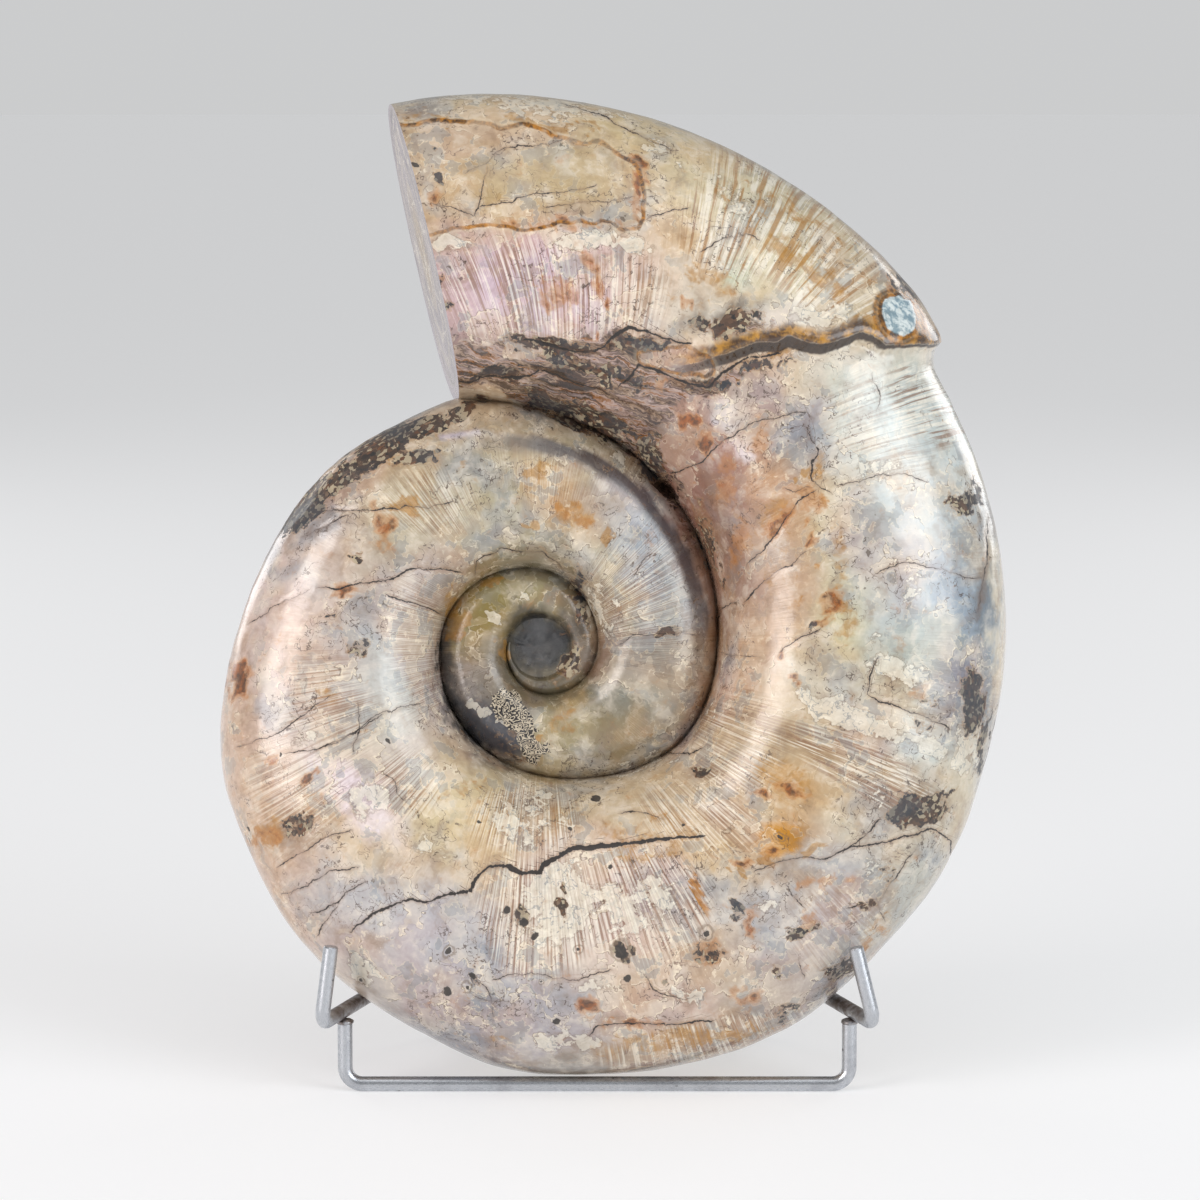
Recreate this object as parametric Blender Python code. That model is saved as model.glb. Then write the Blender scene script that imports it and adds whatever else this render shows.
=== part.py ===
"""A polished lytoceras ammonite, sawn flat at its aperture, standing on a bent steel rod stand.

Metres, +Z up. The ammonite's face looks along -Y. The origin lies on the floor
under the middle of the whole object's box.
"""

import math

import bmesh
import bpy
from mathutils import Vector

# ---------------------------------------------------------------- dimensions

MM = 0.001

# The stand's own measuring point, seen from the middle of the object's box.
STAND_PLACE = (0.8 * MM, 2.2 * MM, 0.0)

# Stand, made of round rod.
ROD_RADIUS = 3.0 * MM
ROD_SIDES_RESOLUTION = 2
ROD_TILT = math.radians(22.5)  # turns a flat of the rod's section downwards
FOOT_Z = 2.763 * MM  # height of a foot bar's centre line: its lower flat is at 0
ARM_Z = 32.0 * MM  # height of the two arms that carry the shell
FOOT_BEND = 6.8 * MM
ARM_BEND = 6.0 * MM
WELD_GAP = 0.3 * MM

HOOK_Y = -62.0 * MM
LEFT_TIP = (-111.6 * MM, HOOK_Y, 63.2 * MM)
LEFT_CORNER = (-115.6 * MM, HOOK_Y, ARM_Z)
RIGHT_TIP = (94.4 * MM, HOOK_Y, 62.8 * MM)
RIGHT_CORNER = (102.0 * MM, HOOK_Y, ARM_Z)
LEFT_ARM_X = (-113.0 * MM, -88.3 * MM)  # at the hook and at the rear bend
RIGHT_ARM_X = (97.0 * MM, 73.4 * MM)
REAR_BEND_Y = 25.6 * MM
BACKREST_TOP_Z = 112.0 * MM

FRONT_BAR_Y = -41.0 * MM
FRONT_BAR_X = (-107.4 * MM, 93.2 * MM)
REAR_BAR_Y = 58.0 * MM
REAR_BAR_X = (-72.0 * MM, 58.0 * MM)
REAR_TOP_Y = 16.0 * MM
REAR_FLAT_TURN = math.radians(1.35)  # levels the flat under the rear bar

# Shell.
LEAN = math.radians(8.0)
SPIRAL_CENTRE = (-30.0 * MM, -8.5 * MM, 173.8 * MM)

FIRST_TURN = -549.0  # degrees along the spiral, measured from +X towards +Z
EXPOSED_FROM = 105.0
LAST_TURN = 465.0
COLUMN_STEP = 6.0
TURN_COLUMNS = 60
FLANK_ROWS = 8
VENTER_ROWS = 8

SECTION_POWER = 0.88  # below 1 the whorl's section is fuller than an ellipse
SHOULDER = 0.25  # depth at which a whorl meets the one before it, of its half breadth
CREST_PLACE = 0.45  # where across a whorl it is broadest
LEAST_SEAM_DEPTH = 4.0 * MM
HUB_RADIUS = 11.8 * MM
HUB_DEPTH = 4.6 * MM

# Outer radius of the last whorl by spiral angle: degrees, millimetres.
OUTER_RADIUS = [
    (90, 104.4), (98, 104.8), (105, 105.0), (112, 105.2), (120, 105.8),
    (128, 107.4), (136, 109.8), (144, 111.6), (150, 112.8), (156, 113.8),
    (162, 115.4), (168, 117.6), (174, 119.8), (180, 122.8), (186, 126.2),
    (192, 130.2), (198, 134.2), (204, 137.4), (210, 139.6), (216, 142.4),
    (222, 145.8), (228, 149.6), (234, 152.6), (240, 155.2), (246, 157.6),
    (252, 160.4), (258, 164.2), (264, 168.2), (270, 170.4), (276, 171.6),
    (282, 173.6), (288, 175.8), (294, 178.2), (300, 180.4), (306, 181.8),
    (312, 181.8), (318, 181.6), (324, 182.8), (330, 184.0), (336, 184.2),
    (342, 183.8), (348, 184.0), (354, 185.0), (360, 186.0), (366, 186.8),
    (372, 187.8), (378, 188.8), (384, 189.8), (390, 191.0), (395, 192.4),
    (398.5, 200.6), (402, 205.6), (408, 207.4), (414, 208.8), (420, 210.2),
    (426, 212.0), (432, 214.0), (438, 215.8), (444, 217.8), (450, 220.2),
    (456, 222.4), (462, 224.2), (470, 226.2),
]

# Radius of the seam on a whorl's inner side by spiral angle.
SEAM_RADIUS = [
    (-260, 11.8), (-215, 12.2), (-189, 12.9), (-146, 14.6), (-103, 17.6),
    (-66, 19.8), (-34, 21.6), (-5, 22.8), (24, 24.2), (60, 27.8), (90, 31.2),
    (108, 33.0), (118, 34.2), (144, 37.2), (165, 39.2), (189, 40.4),
    (218, 43.2), (244, 46.6), (270, 51.0), (291, 55.6), (310, 62.0),
    (326, 67.4), (342, 69.6), (358, 70.6), (374, 72.6), (393, 76.4),
    (410, 80.8), (425, 86.0), (440, 91.4), (455, 98.4), (465, 103.4),
    (475, 108.0),
]

# Half breadth of a whorl by spiral angle.
HALF_BREADTH = [
    (-560, 4.8), (-480, 6.2), (-360, 8.4), (-254, 10.6), (-180, 12.6),
    (-90, 16.4), (0, 21.4), (105, 29.0), (180, 36.5), (270, 46.0),
    (330, 50.5), (390, 52.5), (402, 54.0), (430, 54.0), (470, 53.0),
]

# The saw cut: a point on it and its outward direction, in the shell's own frame
# (to the right, up, towards the viewer).
CUT_POINT = Vector((-60.4 * MM, 216.8 * MM, 0.0))
CUT_NORMAL = Vector((-0.9701, -0.2247, 0.0906)).normalized()
CUT_EASE_FROM = 435.0  # the columns lean into the cut from here on

STEEL = (0.55, 0.56, 0.58, 1.0)
STONE = (0.56, 0.49, 0.41, 1.0)


# ------------------------------------------------------------------- helpers


def smooth_value(table, x):
    """A smooth curve through the table's points, with flat overshoot held down."""
    if x <= table[0][0]:
        return table[0][1]
    if x >= table[-1][0]:
        return table[-1][1]
    i = next(k for k in range(len(table) - 1) if x <= table[k + 1][0])
    (x0, y0), (x1, y1) = table[i], table[i + 1]
    run = x1 - x0
    slope = (y1 - y0) / run
    before = slope if i == 0 else (y0 - table[i - 1][1]) / (x0 - table[i - 1][0])
    after = (
        slope
        if i + 2 == len(table)
        else (table[i + 2][1] - y1) / (table[i + 2][0] - x1)
    )
    m0 = 0.0 if before * slope <= 0 else 2 * before * slope / (before + slope)
    m1 = 0.0 if after * slope <= 0 else 2 * after * slope / (after + slope)
    t = (x - x0) / run
    return (
        (2 * t**3 - 3 * t**2 + 1) * y0
        + (t**3 - 2 * t**2 + t) * run * m0
        + (3 * t**2 - 2 * t**3) * y1
        + (t**3 - t**2) * run * m1
    )


def outer_radius(turn):
    return smooth_value(OUTER_RADIUS, turn) * MM


def seam_radius(turn):
    return smooth_value(SEAM_RADIUS, turn) * MM


def half_breadth(turn):
    return smooth_value(HALF_BREADTH, turn) * MM


def seam_depth(turn):
    """How far in front of the middle plane the inner seam lies."""
    if turn - 360.0 < FIRST_TURN:
        return LEAST_SEAM_DEPTH
    return max(LEAST_SEAM_DEPTH, SHOULDER * half_breadth(turn - 360.0))


class Section:
    """One cross section of a whorl: radius and depth along it, inner seam to venter."""

    def __init__(self, turn):
        self.turn = turn
        self.breadth = half_breadth(turn)
        self.exposed = turn > EXPOSED_FROM - 0.01
        inner = seam_radius(turn)
        self.inner_angle = self.angle_of(seam_depth(turn))
        if self.exposed:
            shoulder_depth = SHOULDER * self.breadth
            outer = outer_radius(turn)
            self.outer_angle = self.angle_of(shoulder_depth)
            self.crest = inner + CREST_PLACE * (outer - inner)
            self.out_run = outer - self.crest
        else:
            shoulder_depth = seam_depth(turn + 360.0)
            outer = seam_radius(turn + 360.0)
            self.outer_angle = self.angle_of(shoulder_depth)
            self.crest = inner + CREST_PLACE * (outer - inner)
            self.out_run = (outer - self.crest) / self.across(self.outer_angle)
        self.in_run = (self.crest - inner) / self.across(self.inner_angle)

    def angle_of(self, depth):
        """The angle above the middle plane at which the section has this depth."""
        share = min(0.97, depth / self.breadth)
        return math.asin(share ** (1.0 / SECTION_POWER))

    @staticmethod
    def across(angle):
        return math.cos(angle) ** SECTION_POWER

    def at(self, angle):
        """Radius and depth at an angle that runs from pi at the seam side to 0."""
        depth = self.breadth * abs(math.sin(angle)) ** SECTION_POWER
        cosine = math.cos(angle)
        across = abs(cosine) ** SECTION_POWER
        if cosine < 0:
            return self.crest - self.in_run * across, depth
        return self.crest + self.out_run * across, depth

    def flank(self, share):
        """From the inner seam (0) to the shoulder (1)."""
        start = math.pi - self.inner_angle
        return self.at(start + (self.outer_angle - start) * share)

    def venter(self, share):
        """From the front shoulder (0) over the venter (0.5) to the back one (1)."""
        angle = self.outer_angle * (1.0 - 2.0 * share)
        radius, depth = self.at(abs(angle))
        return radius, depth if angle >= 0 else -depth


def cut_turn(radius, depth):
    """The spiral angle, over 360, at which the saw cut meets this radius and depth."""
    size = math.hypot(CUT_NORMAL.x, CUT_NORMAL.y)
    lean = math.atan2(-CUT_NORMAL.y, -CUT_NORMAL.x)
    level = CUT_NORMAL.dot(CUT_POINT) - CUT_NORMAL.z * depth
    return 360.0 + math.degrees(lean + math.acos(-level / (size * radius)))


def shell_point(turn, radius, depth):
    """A point of the shell in its own frame, x right, y towards the back, z up."""
    whole = turn
    if whole > CUT_EASE_FROM:
        ease = (whole - CUT_EASE_FROM) / (LAST_TURN - CUT_EASE_FROM)
        whole += ease * (cut_turn(radius, depth) - LAST_TURN)
    angle = math.radians(whole)
    return Vector((radius * math.cos(angle), -depth, radius * math.sin(angle)))


# --------------------------------------------------------------------- shell


def build_ammonite(collection):
    bm = bmesh.new()
    columns = int(round((LAST_TURN - FIRST_TURN) / COLUMN_STEP)) + 1
    turns = [FIRST_TURN + i * COLUMN_STEP for i in range(columns)]
    sections = [Section(t) for t in turns]

    def vertex(turn, radius, depth):
        return bm.verts.new(shell_point(turn, radius, depth))

    flanks = {}
    for side in (1, -1):
        rows = []
        for i, section in enumerate(sections):
            row = []
            for j in range(FLANK_ROWS + 1):
                if j == 0 and i >= TURN_COLUMNS:
                    row.append(rows[i - TURN_COLUMNS][FLANK_ROWS])
                    continue
                radius, depth = section.flank(j / FLANK_ROWS)
                turn = section.turn
                if j == FLANK_ROWS and turn < EXPOSED_FROM + 0.01:
                    turn += 360.0  # this edge is the next whorl's inner seam
                row.append(vertex(turn, radius, side * depth))
            rows.append(row)
        flanks[side] = rows

    def face(*corners, flip=False):
        corners = list(corners)
        bm.faces.new(corners[::-1] if flip else corners)

    for side, rows in flanks.items():
        for i in range(columns - 1):
            for j in range(FLANK_ROWS):
                face(
                    rows[i][j], rows[i][j + 1], rows[i + 1][j + 1], rows[i + 1][j],
                    flip=side < 0,
                )
        # The hub: a low dome inside the first turn.
        hub = bm.verts.new((0.0, -side * HUB_DEPTH, 0.0))
        ring = [rows[i][0] for i in range(TURN_COLUMNS + 1)]
        start = rows[0]
        loop = ring + start[FLANK_ROWS - 1 : 0 : -1] + [start[0]]
        for a, b in zip(loop, loop[1:]):
            face(hub, a, b, flip=side < 0)

    # The venter, open from where the shell's last turn leaves the one before it.
    first = next(i for i, t in enumerate(turns) if t > EXPOSED_FROM - 0.01)
    venter = []
    for i in range(first, columns):
        section = sections[i]
        turn = section.turn + (360.0 if i == first else 0.0)
        line = [flanks[1][i][FLANK_ROWS]]
        for k in range(1, VENTER_ROWS):
            radius, depth = section.venter(k / VENTER_ROWS)
            line.append(vertex(turn, radius, depth))
        line.append(flanks[-1][i][FLANK_ROWS])
        venter.append(line)
    for a, b in zip(venter, venter[1:]):
        for k in range(VENTER_ROWS):
            face(a[k], a[k + 1], b[k + 1], b[k])

    # The sawn aperture, one flat face notched by the venter of the earlier turn.
    outline = (
        flanks[1][-1][:FLANK_ROWS]
        + venter[-1]
        + flanks[-1][-1][FLANK_ROWS - 1 :: -1]
        + venter[0][VENTER_ROWS - 1 : 0 : -1]
    )
    cap = bm.faces.new(outline)
    bmesh.ops.triangulate(bm, faces=[cap], ngon_method="EAR_CLIP")

    bmesh.ops.recalc_face_normals(bm, faces=bm.faces[:])
    mesh = bpy.data.meshes.new("ammonite")
    bm.to_mesh(mesh)
    bm.free()
    mesh.shade_smooth()
    mesh.set_sharp_from_angle(angle=math.radians(50.0))
    shell = bpy.data.objects.new("ammonite", mesh)
    shell.location = SPIRAL_CENTRE
    shell.rotation_euler = (-LEAN, 0.0, 0.0)
    collection.objects.link(shell)
    return shell


# --------------------------------------------------------------------- stand


def bent_path(corners, bend, steps=5):
    """The rod's centre line: straight runs joined by round bends at the corners."""
    corners = [Vector(c) for c in corners]
    points = [corners[0]]
    for before, corner, after in zip(corners, corners[1:], corners[2:]):
        back = (before - corner).normalized()
        on = (after - corner).normalized()
        half = back.angle(on) / 2.0
        reach = bend / math.tan(half)
        centre = corner + (back + on).normalized() * (bend / math.sin(half))
        start, end = corner + back * reach - centre, corner + on * reach - centre
        sweep = start.angle(end)
        for k in range(steps + 1):
            a = sweep * k / steps
            arm = (start * math.sin(sweep - a) + end * math.sin(a)) / math.sin(sweep)
            points.append(centre + arm)
    points.append(corners[-1])
    return points


def rod(name, points, collection, tilt=ROD_TILT):
    curve = bpy.data.curves.new(name, "CURVE")
    curve.dimensions = "3D"
    curve.bevel_depth = ROD_RADIUS
    curve.bevel_resolution = ROD_SIDES_RESOLUTION
    curve.use_fill_caps = True
    curve.resolution_u = 1
    curve.render_resolution_u = 0
    spline = curve.splines.new("POLY")
    spline.points.add(len(points) - 1)
    for target, point in zip(spline.points, points):
        target.co = (*point, 1.0)
        target.tilt = tilt
    spline.use_smooth = True
    made = bpy.data.objects.new(name, curve)
    collection.objects.link(made)
    return made


def build_cradle(collection):
    """Hook, arm, backrest, arm and hook, bent from one length of rod."""
    rise = BACKREST_TOP_Z - ARM_Z
    back_y = REAR_BEND_Y + rise * math.tan(LEAN)
    corners = [
        LEFT_TIP,
        LEFT_CORNER,
        (LEFT_ARM_X[1], REAR_BEND_Y, ARM_Z),
        (LEFT_ARM_X[1] + 6.0 * MM, back_y, BACKREST_TOP_Z),
        (RIGHT_ARM_X[1] - 6.0 * MM, back_y, BACKREST_TOP_Z),
        (RIGHT_ARM_X[1], REAR_BEND_Y, ARM_Z),
        RIGHT_CORNER,
        RIGHT_TIP,
    ]
    return rod("cradle_rod", bent_path(corners, ARM_BEND), collection)


def arm_x(side, y):
    """The arms' distance to the side at a depth: side 0 is the left one."""
    corner = (LEFT_CORNER, RIGHT_CORNER)[side][0]
    rear = (LEFT_ARM_X, RIGHT_ARM_X)[side][1]
    return corner + (rear - corner) * (y - HOOK_Y) / (REAR_BEND_Y - HOOK_Y)


def build_feet(collection):
    top = ARM_Z - ROD_RADIUS - WELD_GAP
    front = [
        (FRONT_BAR_X[0], FRONT_BAR_Y, top),
        (FRONT_BAR_X[0], FRONT_BAR_Y, FOOT_Z),
        (FRONT_BAR_X[1], FRONT_BAR_Y, FOOT_Z),
        (FRONT_BAR_X[1], FRONT_BAR_Y, top),
    ]
    rod("front_foot_loop", bent_path(front, FOOT_BEND), collection)
    rear = [
        (arm_x(0, REAR_TOP_Y), REAR_TOP_Y, top - 2.6 * MM),
        (REAR_BAR_X[0], REAR_BAR_Y, FOOT_Z + 0.008 * MM),
        (REAR_BAR_X[1], REAR_BAR_Y, FOOT_Z + 0.008 * MM),
        (arm_x(1, REAR_TOP_Y), REAR_TOP_Y, top - 2.6 * MM),
    ]
    splay = math.atan2(REAR_BAR_Y - REAR_TOP_Y, top - 2.6 * MM - FOOT_Z)
    splay += REAR_FLAT_TURN
    rod("rear_foot_loop", bent_path(rear, FOOT_BEND), collection, ROD_TILT + splay)


# ----------------------------------------------------------------- materials


def material(name, colour, roughness, metallic):
    made = bpy.data.materials.new(name)
    made.use_nodes = True
    shader = made.node_tree.nodes["Principled BSDF"]
    shader.inputs["Base Color"].default_value = colour
    shader.inputs["Roughness"].default_value = roughness
    shader.inputs["Metallic"].default_value = metallic
    return made


def main():
    for old in list(bpy.data.objects):
        bpy.data.objects.remove(old, do_unlink=True)

    collection = bpy.data.collections.new("lytoceras_ammonite_on_stand")
    bpy.context.scene.collection.children.link(collection)

    place = bpy.data.objects.new("stand_place", None)
    place.location = STAND_PLACE
    collection.objects.link(place)

    build_ammonite(collection).data.materials.append(
        material("polished_fossil_shell", STONE, 0.25, 0.0)
    )
    build_cradle(collection)
    build_feet(collection)
    for piece in collection.objects:
        if piece is not place:
            piece.parent = place
    for name in ("cradle_rod", "front_foot_loop", "rear_foot_loop"):
        bpy.data.objects[name].data.materials.append(
            material(name + "_steel", STEEL, 0.3, 1.0)
        )


main()
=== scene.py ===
import math

import bmesh
import bpy
import numpy as np
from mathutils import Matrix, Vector, geometry, noise


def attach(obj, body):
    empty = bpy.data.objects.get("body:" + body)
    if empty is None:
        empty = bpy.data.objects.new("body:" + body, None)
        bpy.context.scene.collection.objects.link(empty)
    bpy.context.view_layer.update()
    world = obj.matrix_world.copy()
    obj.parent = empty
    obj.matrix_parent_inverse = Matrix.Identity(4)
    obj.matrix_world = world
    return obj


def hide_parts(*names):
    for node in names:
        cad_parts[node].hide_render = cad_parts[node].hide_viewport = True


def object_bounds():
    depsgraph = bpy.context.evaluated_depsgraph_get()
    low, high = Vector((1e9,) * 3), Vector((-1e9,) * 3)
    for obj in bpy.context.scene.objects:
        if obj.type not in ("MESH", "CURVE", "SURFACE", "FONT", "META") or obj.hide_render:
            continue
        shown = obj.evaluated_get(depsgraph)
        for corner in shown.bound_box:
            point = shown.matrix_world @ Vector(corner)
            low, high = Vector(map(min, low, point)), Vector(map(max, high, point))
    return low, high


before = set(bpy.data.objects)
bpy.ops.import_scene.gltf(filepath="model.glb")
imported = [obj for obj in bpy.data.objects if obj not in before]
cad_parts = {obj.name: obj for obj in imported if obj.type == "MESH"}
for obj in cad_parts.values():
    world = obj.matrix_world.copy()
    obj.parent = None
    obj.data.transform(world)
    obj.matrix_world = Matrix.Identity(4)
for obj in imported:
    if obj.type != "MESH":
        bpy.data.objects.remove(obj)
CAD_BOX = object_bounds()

MM = 0.001

# ------------------------------------------------------------------ camera

TARGET = Vector((-5.2, -3.8, 192.6)) * MM
VIEW_RISE = math.radians(8.0)
VIEW_DISTANCE = 2000.0 * MM
LENS, SENSOR, FRAME_SIDE = 150.0, 36.0, 1200.0

FORWARD = Vector((0.0, math.cos(VIEW_RISE), -math.sin(VIEW_RISE)))
UPWARD = Vector((0.0, math.sin(VIEW_RISE), math.cos(VIEW_RISE)))
CAMERA_PLACE = TARGET - FORWARD * VIEW_DISTANCE


def build_camera():
    data = bpy.data.cameras.new("camera")
    data.lens = LENS
    data.sensor_width = SENSOR
    data.clip_start, data.clip_end = 0.05, 50.0
    camera = bpy.data.objects.new("camera", data)
    camera.location = CAMERA_PLACE
    camera.rotation_euler = (math.pi / 2 - VIEW_RISE, 0.0, 0.0)
    bpy.context.scene.collection.objects.link(camera)
    bpy.context.scene.camera = camera


def drawing_place(points):
    """Where points show in a 1200 by 1200 drawing of the front, as n by 2."""
    away = points - np.array(CAMERA_PLACE)
    depth = away @ np.array(FORWARD)
    scale = FRAME_SIDE * LENS / SENSOR
    half = FRAME_SIDE / 2
    return np.stack(
        [half + scale * away[:, 0] / depth, half - scale * (away @ np.array(UPWARD)) / depth],
        axis=1,
    )


# ------------------------------------------------------------- shell shape

STAND_PLACE = np.array((0.8, 2.2, 0.0)) * MM
LEAN = math.radians(8.0)
SPIRAL_CENTRE = np.array((-30.0, -8.5, 173.8)) * MM

FIRST_TURN = -549.0
MIDDLE_FROM = -255.0
EXPOSED_FROM = 105.0
LAST_TURN = 465.0
SECTION_POWER = 0.88
SHOULDER = 0.25
CREST_PLACE = 0.45
LEAST_SEAM_DEPTH = 4.0 * MM
HUB_DEPTH = 4.6 * MM
CUT_EASE_FROM = 435.0

OUTER_RADIUS = [
    (90, 104.4), (98, 104.8), (105, 105.0), (112, 105.2), (120, 105.8),
    (128, 107.4), (136, 109.8), (144, 111.6), (150, 112.8), (156, 113.8),
    (162, 115.4), (168, 117.6), (174, 119.8), (180, 122.8), (186, 126.2),
    (192, 130.2), (198, 134.2), (204, 137.4), (210, 139.6), (216, 142.4),
    (222, 145.8), (228, 149.6), (234, 152.6), (240, 155.2), (246, 157.6),
    (252, 160.4), (258, 164.2), (264, 168.2), (270, 170.4), (276, 171.6),
    (282, 173.6), (288, 175.8), (294, 178.2), (300, 180.4), (306, 181.8),
    (312, 181.8), (318, 181.6), (324, 182.8), (330, 184.0), (336, 184.2),
    (342, 183.8), (348, 184.0), (354, 185.0), (360, 186.0), (366, 186.8),
    (372, 187.8), (378, 188.8), (384, 189.8), (390, 191.0), (395, 192.4),
    (398.5, 200.6), (402, 205.6), (408, 207.4), (414, 208.8), (420, 210.2),
    (426, 212.0), (432, 214.0), (438, 215.8), (444, 217.8), (450, 220.2),
    (456, 222.4), (462, 224.2), (470, 226.2),
]
SEAM_RADIUS = [
    (-260, 11.8), (-215, 12.2), (-189, 12.9), (-146, 14.6), (-103, 17.6),
    (-66, 19.8), (-34, 21.6), (-5, 22.8), (24, 24.2), (60, 27.8), (90, 31.2),
    (108, 33.0), (118, 34.2), (144, 37.2), (165, 39.2), (189, 40.4),
    (218, 43.2), (244, 46.6), (270, 51.0), (291, 55.6), (310, 62.0),
    (326, 67.4), (342, 69.6), (358, 70.6), (374, 72.6), (393, 76.4),
    (410, 80.8), (425, 86.0), (440, 91.4), (455, 98.4), (465, 103.4),
    (475, 108.0),
]
HALF_BREADTH = [
    (-560, 4.8), (-480, 6.2), (-360, 8.4), (-254, 10.6), (-180, 12.6),
    (-90, 16.4), (0, 21.4), (105, 29.0), (180, 36.5), (270, 46.0),
    (330, 50.5), (390, 52.5), (402, 54.0), (430, 54.0), (470, 53.0),
]
CUT_POINT = np.array((-60.4, 216.8, 0.0)) * MM
CUT_NORMAL = np.array((-0.9701, -0.2247, 0.0906))
CUT_NORMAL = CUT_NORMAL / np.linalg.norm(CUT_NORMAL)


def curve(table, x):
    """A smooth curve through the table's points, for an array of x."""
    xs, ys = np.array(table, float).T
    x = np.clip(np.asarray(x, float), xs[0], xs[-1])
    i = np.clip(np.searchsorted(xs[1:], x, "left"), 0, len(xs) - 2)
    slope = np.diff(ys) / np.diff(xs)
    before = np.concatenate([slope[:1], slope[:-1]])
    after = np.concatenate([slope[1:], slope[-1:]])

    def mean(a, b):
        with np.errstate(divide="ignore", invalid="ignore"):
            return np.where(a * b <= 0, 0.0, 2 * a * b / (a + b))

    m0, m1 = mean(before, slope)[i], mean(after, slope)[i]
    run = np.diff(xs)[i]
    t = (x - xs[i]) / run
    return (
        (2 * t**3 - 3 * t**2 + 1) * ys[i]
        + (t**3 - 2 * t**2 + t) * run * m0
        + (3 * t**2 - 2 * t**3) * ys[i + 1]
        + (t**3 - t**2) * run * m1
    )


def half_breadth(turn):
    return curve(HALF_BREADTH, turn) * MM


def seam_radius(turn):
    """Near the saw cut the seam rises to meet the edge of the turn below it."""
    return (curve(SEAM_RADIUS, turn) + 0.84 * np.clip((turn - 459) / 6, 0, 1)) * MM


def seam_depth(turn):
    below = np.where(turn - 360 < FIRST_TURN, 0.0, SHOULDER * half_breadth(turn - 360))
    return np.maximum(LEAST_SEAM_DEPTH, below)


def angle_of(depth, breadth):
    return np.arcsin(np.minimum(0.97, depth / breadth) ** (1 / SECTION_POWER))


class Sections:
    """Cross sections of the whorl at an array of turns."""

    def __init__(self, turn):
        self.turn = turn = np.asarray(turn, float)
        self.breadth = half_breadth(turn)
        inner = seam_radius(turn)
        self.inner_angle = angle_of(seam_depth(turn), self.breadth)
        open_ = turn > EXPOSED_FROM - 0.01
        depth = np.where(open_, SHOULDER * self.breadth, seam_depth(turn + 360))
        outer = np.where(open_, curve(OUTER_RADIUS, turn) * MM, seam_radius(turn + 360))
        self.outer_angle = angle_of(depth, self.breadth)
        self.crest = inner + CREST_PLACE * (outer - inner)
        run = outer - self.crest
        reach = np.cos(self.outer_angle) ** SECTION_POWER
        self.out_run = np.where(open_, run, run / reach)
        self.in_run = (self.crest - inner) / np.cos(self.inner_angle) ** SECTION_POWER

    def at(self, angle):
        pick = (slice(None),) + (None,) * (angle.ndim - 1)
        depth = self.breadth[pick] * np.abs(np.sin(angle)) ** SECTION_POWER
        cosine = np.cos(angle)
        across = np.abs(cosine) ** SECTION_POWER
        run = np.where(cosine < 0, -self.in_run[pick], self.out_run[pick])
        return self.crest[pick] + run * across, depth

    def flank(self, share):
        start = (math.pi - self.inner_angle)[:, None]
        return self.at(start + (self.outer_angle[:, None] - start) * share[None, :])

    def venter(self, share):
        angle = self.outer_angle[:, None] * (1 - 2 * share[None, :])
        radius, depth = self.at(np.abs(angle))
        return radius, np.where(angle >= 0, depth, -depth)


def cut_turn(radius, depth):
    """The turn at which the saw cut meets this radius and depth."""
    size = math.hypot(CUT_NORMAL[0], CUT_NORMAL[1])
    lean = math.atan2(-CUT_NORMAL[1], -CUT_NORMAL[0])
    level = CUT_NORMAL @ CUT_POINT - CUT_NORMAL[2] * depth
    ratio = np.clip(-level / (size * radius), -1, 1)
    return 360 + np.degrees(lean + np.arccos(ratio))


def shell_point(turn, radius, depth):
    """A point in the shell's own frame; turn may lie on the cut's side of a whorl."""
    ease = np.clip((turn - CUT_EASE_FROM) / (LAST_TURN - CUT_EASE_FROM), 0, None)
    whole = turn + ease * (cut_turn(radius, depth) - LAST_TURN)
    angle = np.radians(whole)
    return np.stack([radius * np.cos(angle), -depth, radius * np.sin(angle)], axis=-1)


def to_world(points):
    c, s = math.cos(-LEAN), math.sin(-LEAN)
    x, y, z = points[..., 0], points[..., 1], points[..., 2]
    turned = np.stack([x, c * y - s * z, s * y + c * z], axis=-1)
    return turned + SPIRAL_CENTRE + STAND_PLACE


class Net:
    """Gathers points with their place on the shell, and the faces between them."""

    def __init__(self):
        self.co, self.turn, self.share, self.side = [], [], [], []
        self.count = 0
        self.faces = []

    def add(self, co, turn, share, side):
        co = np.asarray(co, float).reshape(-1, 3)
        n = len(co)
        self.co.append(co)
        self.turn.append(np.broadcast_to(turn, (n,)).astype(float))
        self.share.append(np.broadcast_to(share, (n,)).astype(float))
        self.side.append(np.full(n, float(side)))
        self.count += n
        return np.arange(self.count - n, self.count)

    def grid(self, index):
        """Quads over a two-way array of point numbers."""
        a, b = index[:-1, :-1], index[:-1, 1:]
        c, d = index[1:, 1:], index[1:, :-1]
        self.faces += np.stack([a, b, c, d], -1).reshape(-1, 4).tolist()

    def zip(self, a, b):
        """Triangles between two lines of points that run side by side."""
        a, b = list(a), list(b)
        i = j = 0
        while i < len(a) - 1 or j < len(b) - 1:
            next_a = (i + 1) / (len(a) - 1) if i < len(a) - 1 else 9.0
            next_b = (j + 1) / (len(b) - 1) if j < len(b) - 1 else 9.0
            if next_a <= next_b:
                self.faces.append([a[i], a[i + 1], b[j]])
                i += 1
            else:
                self.faces.append([a[i], b[j + 1], b[j]])
                j += 1


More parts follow.
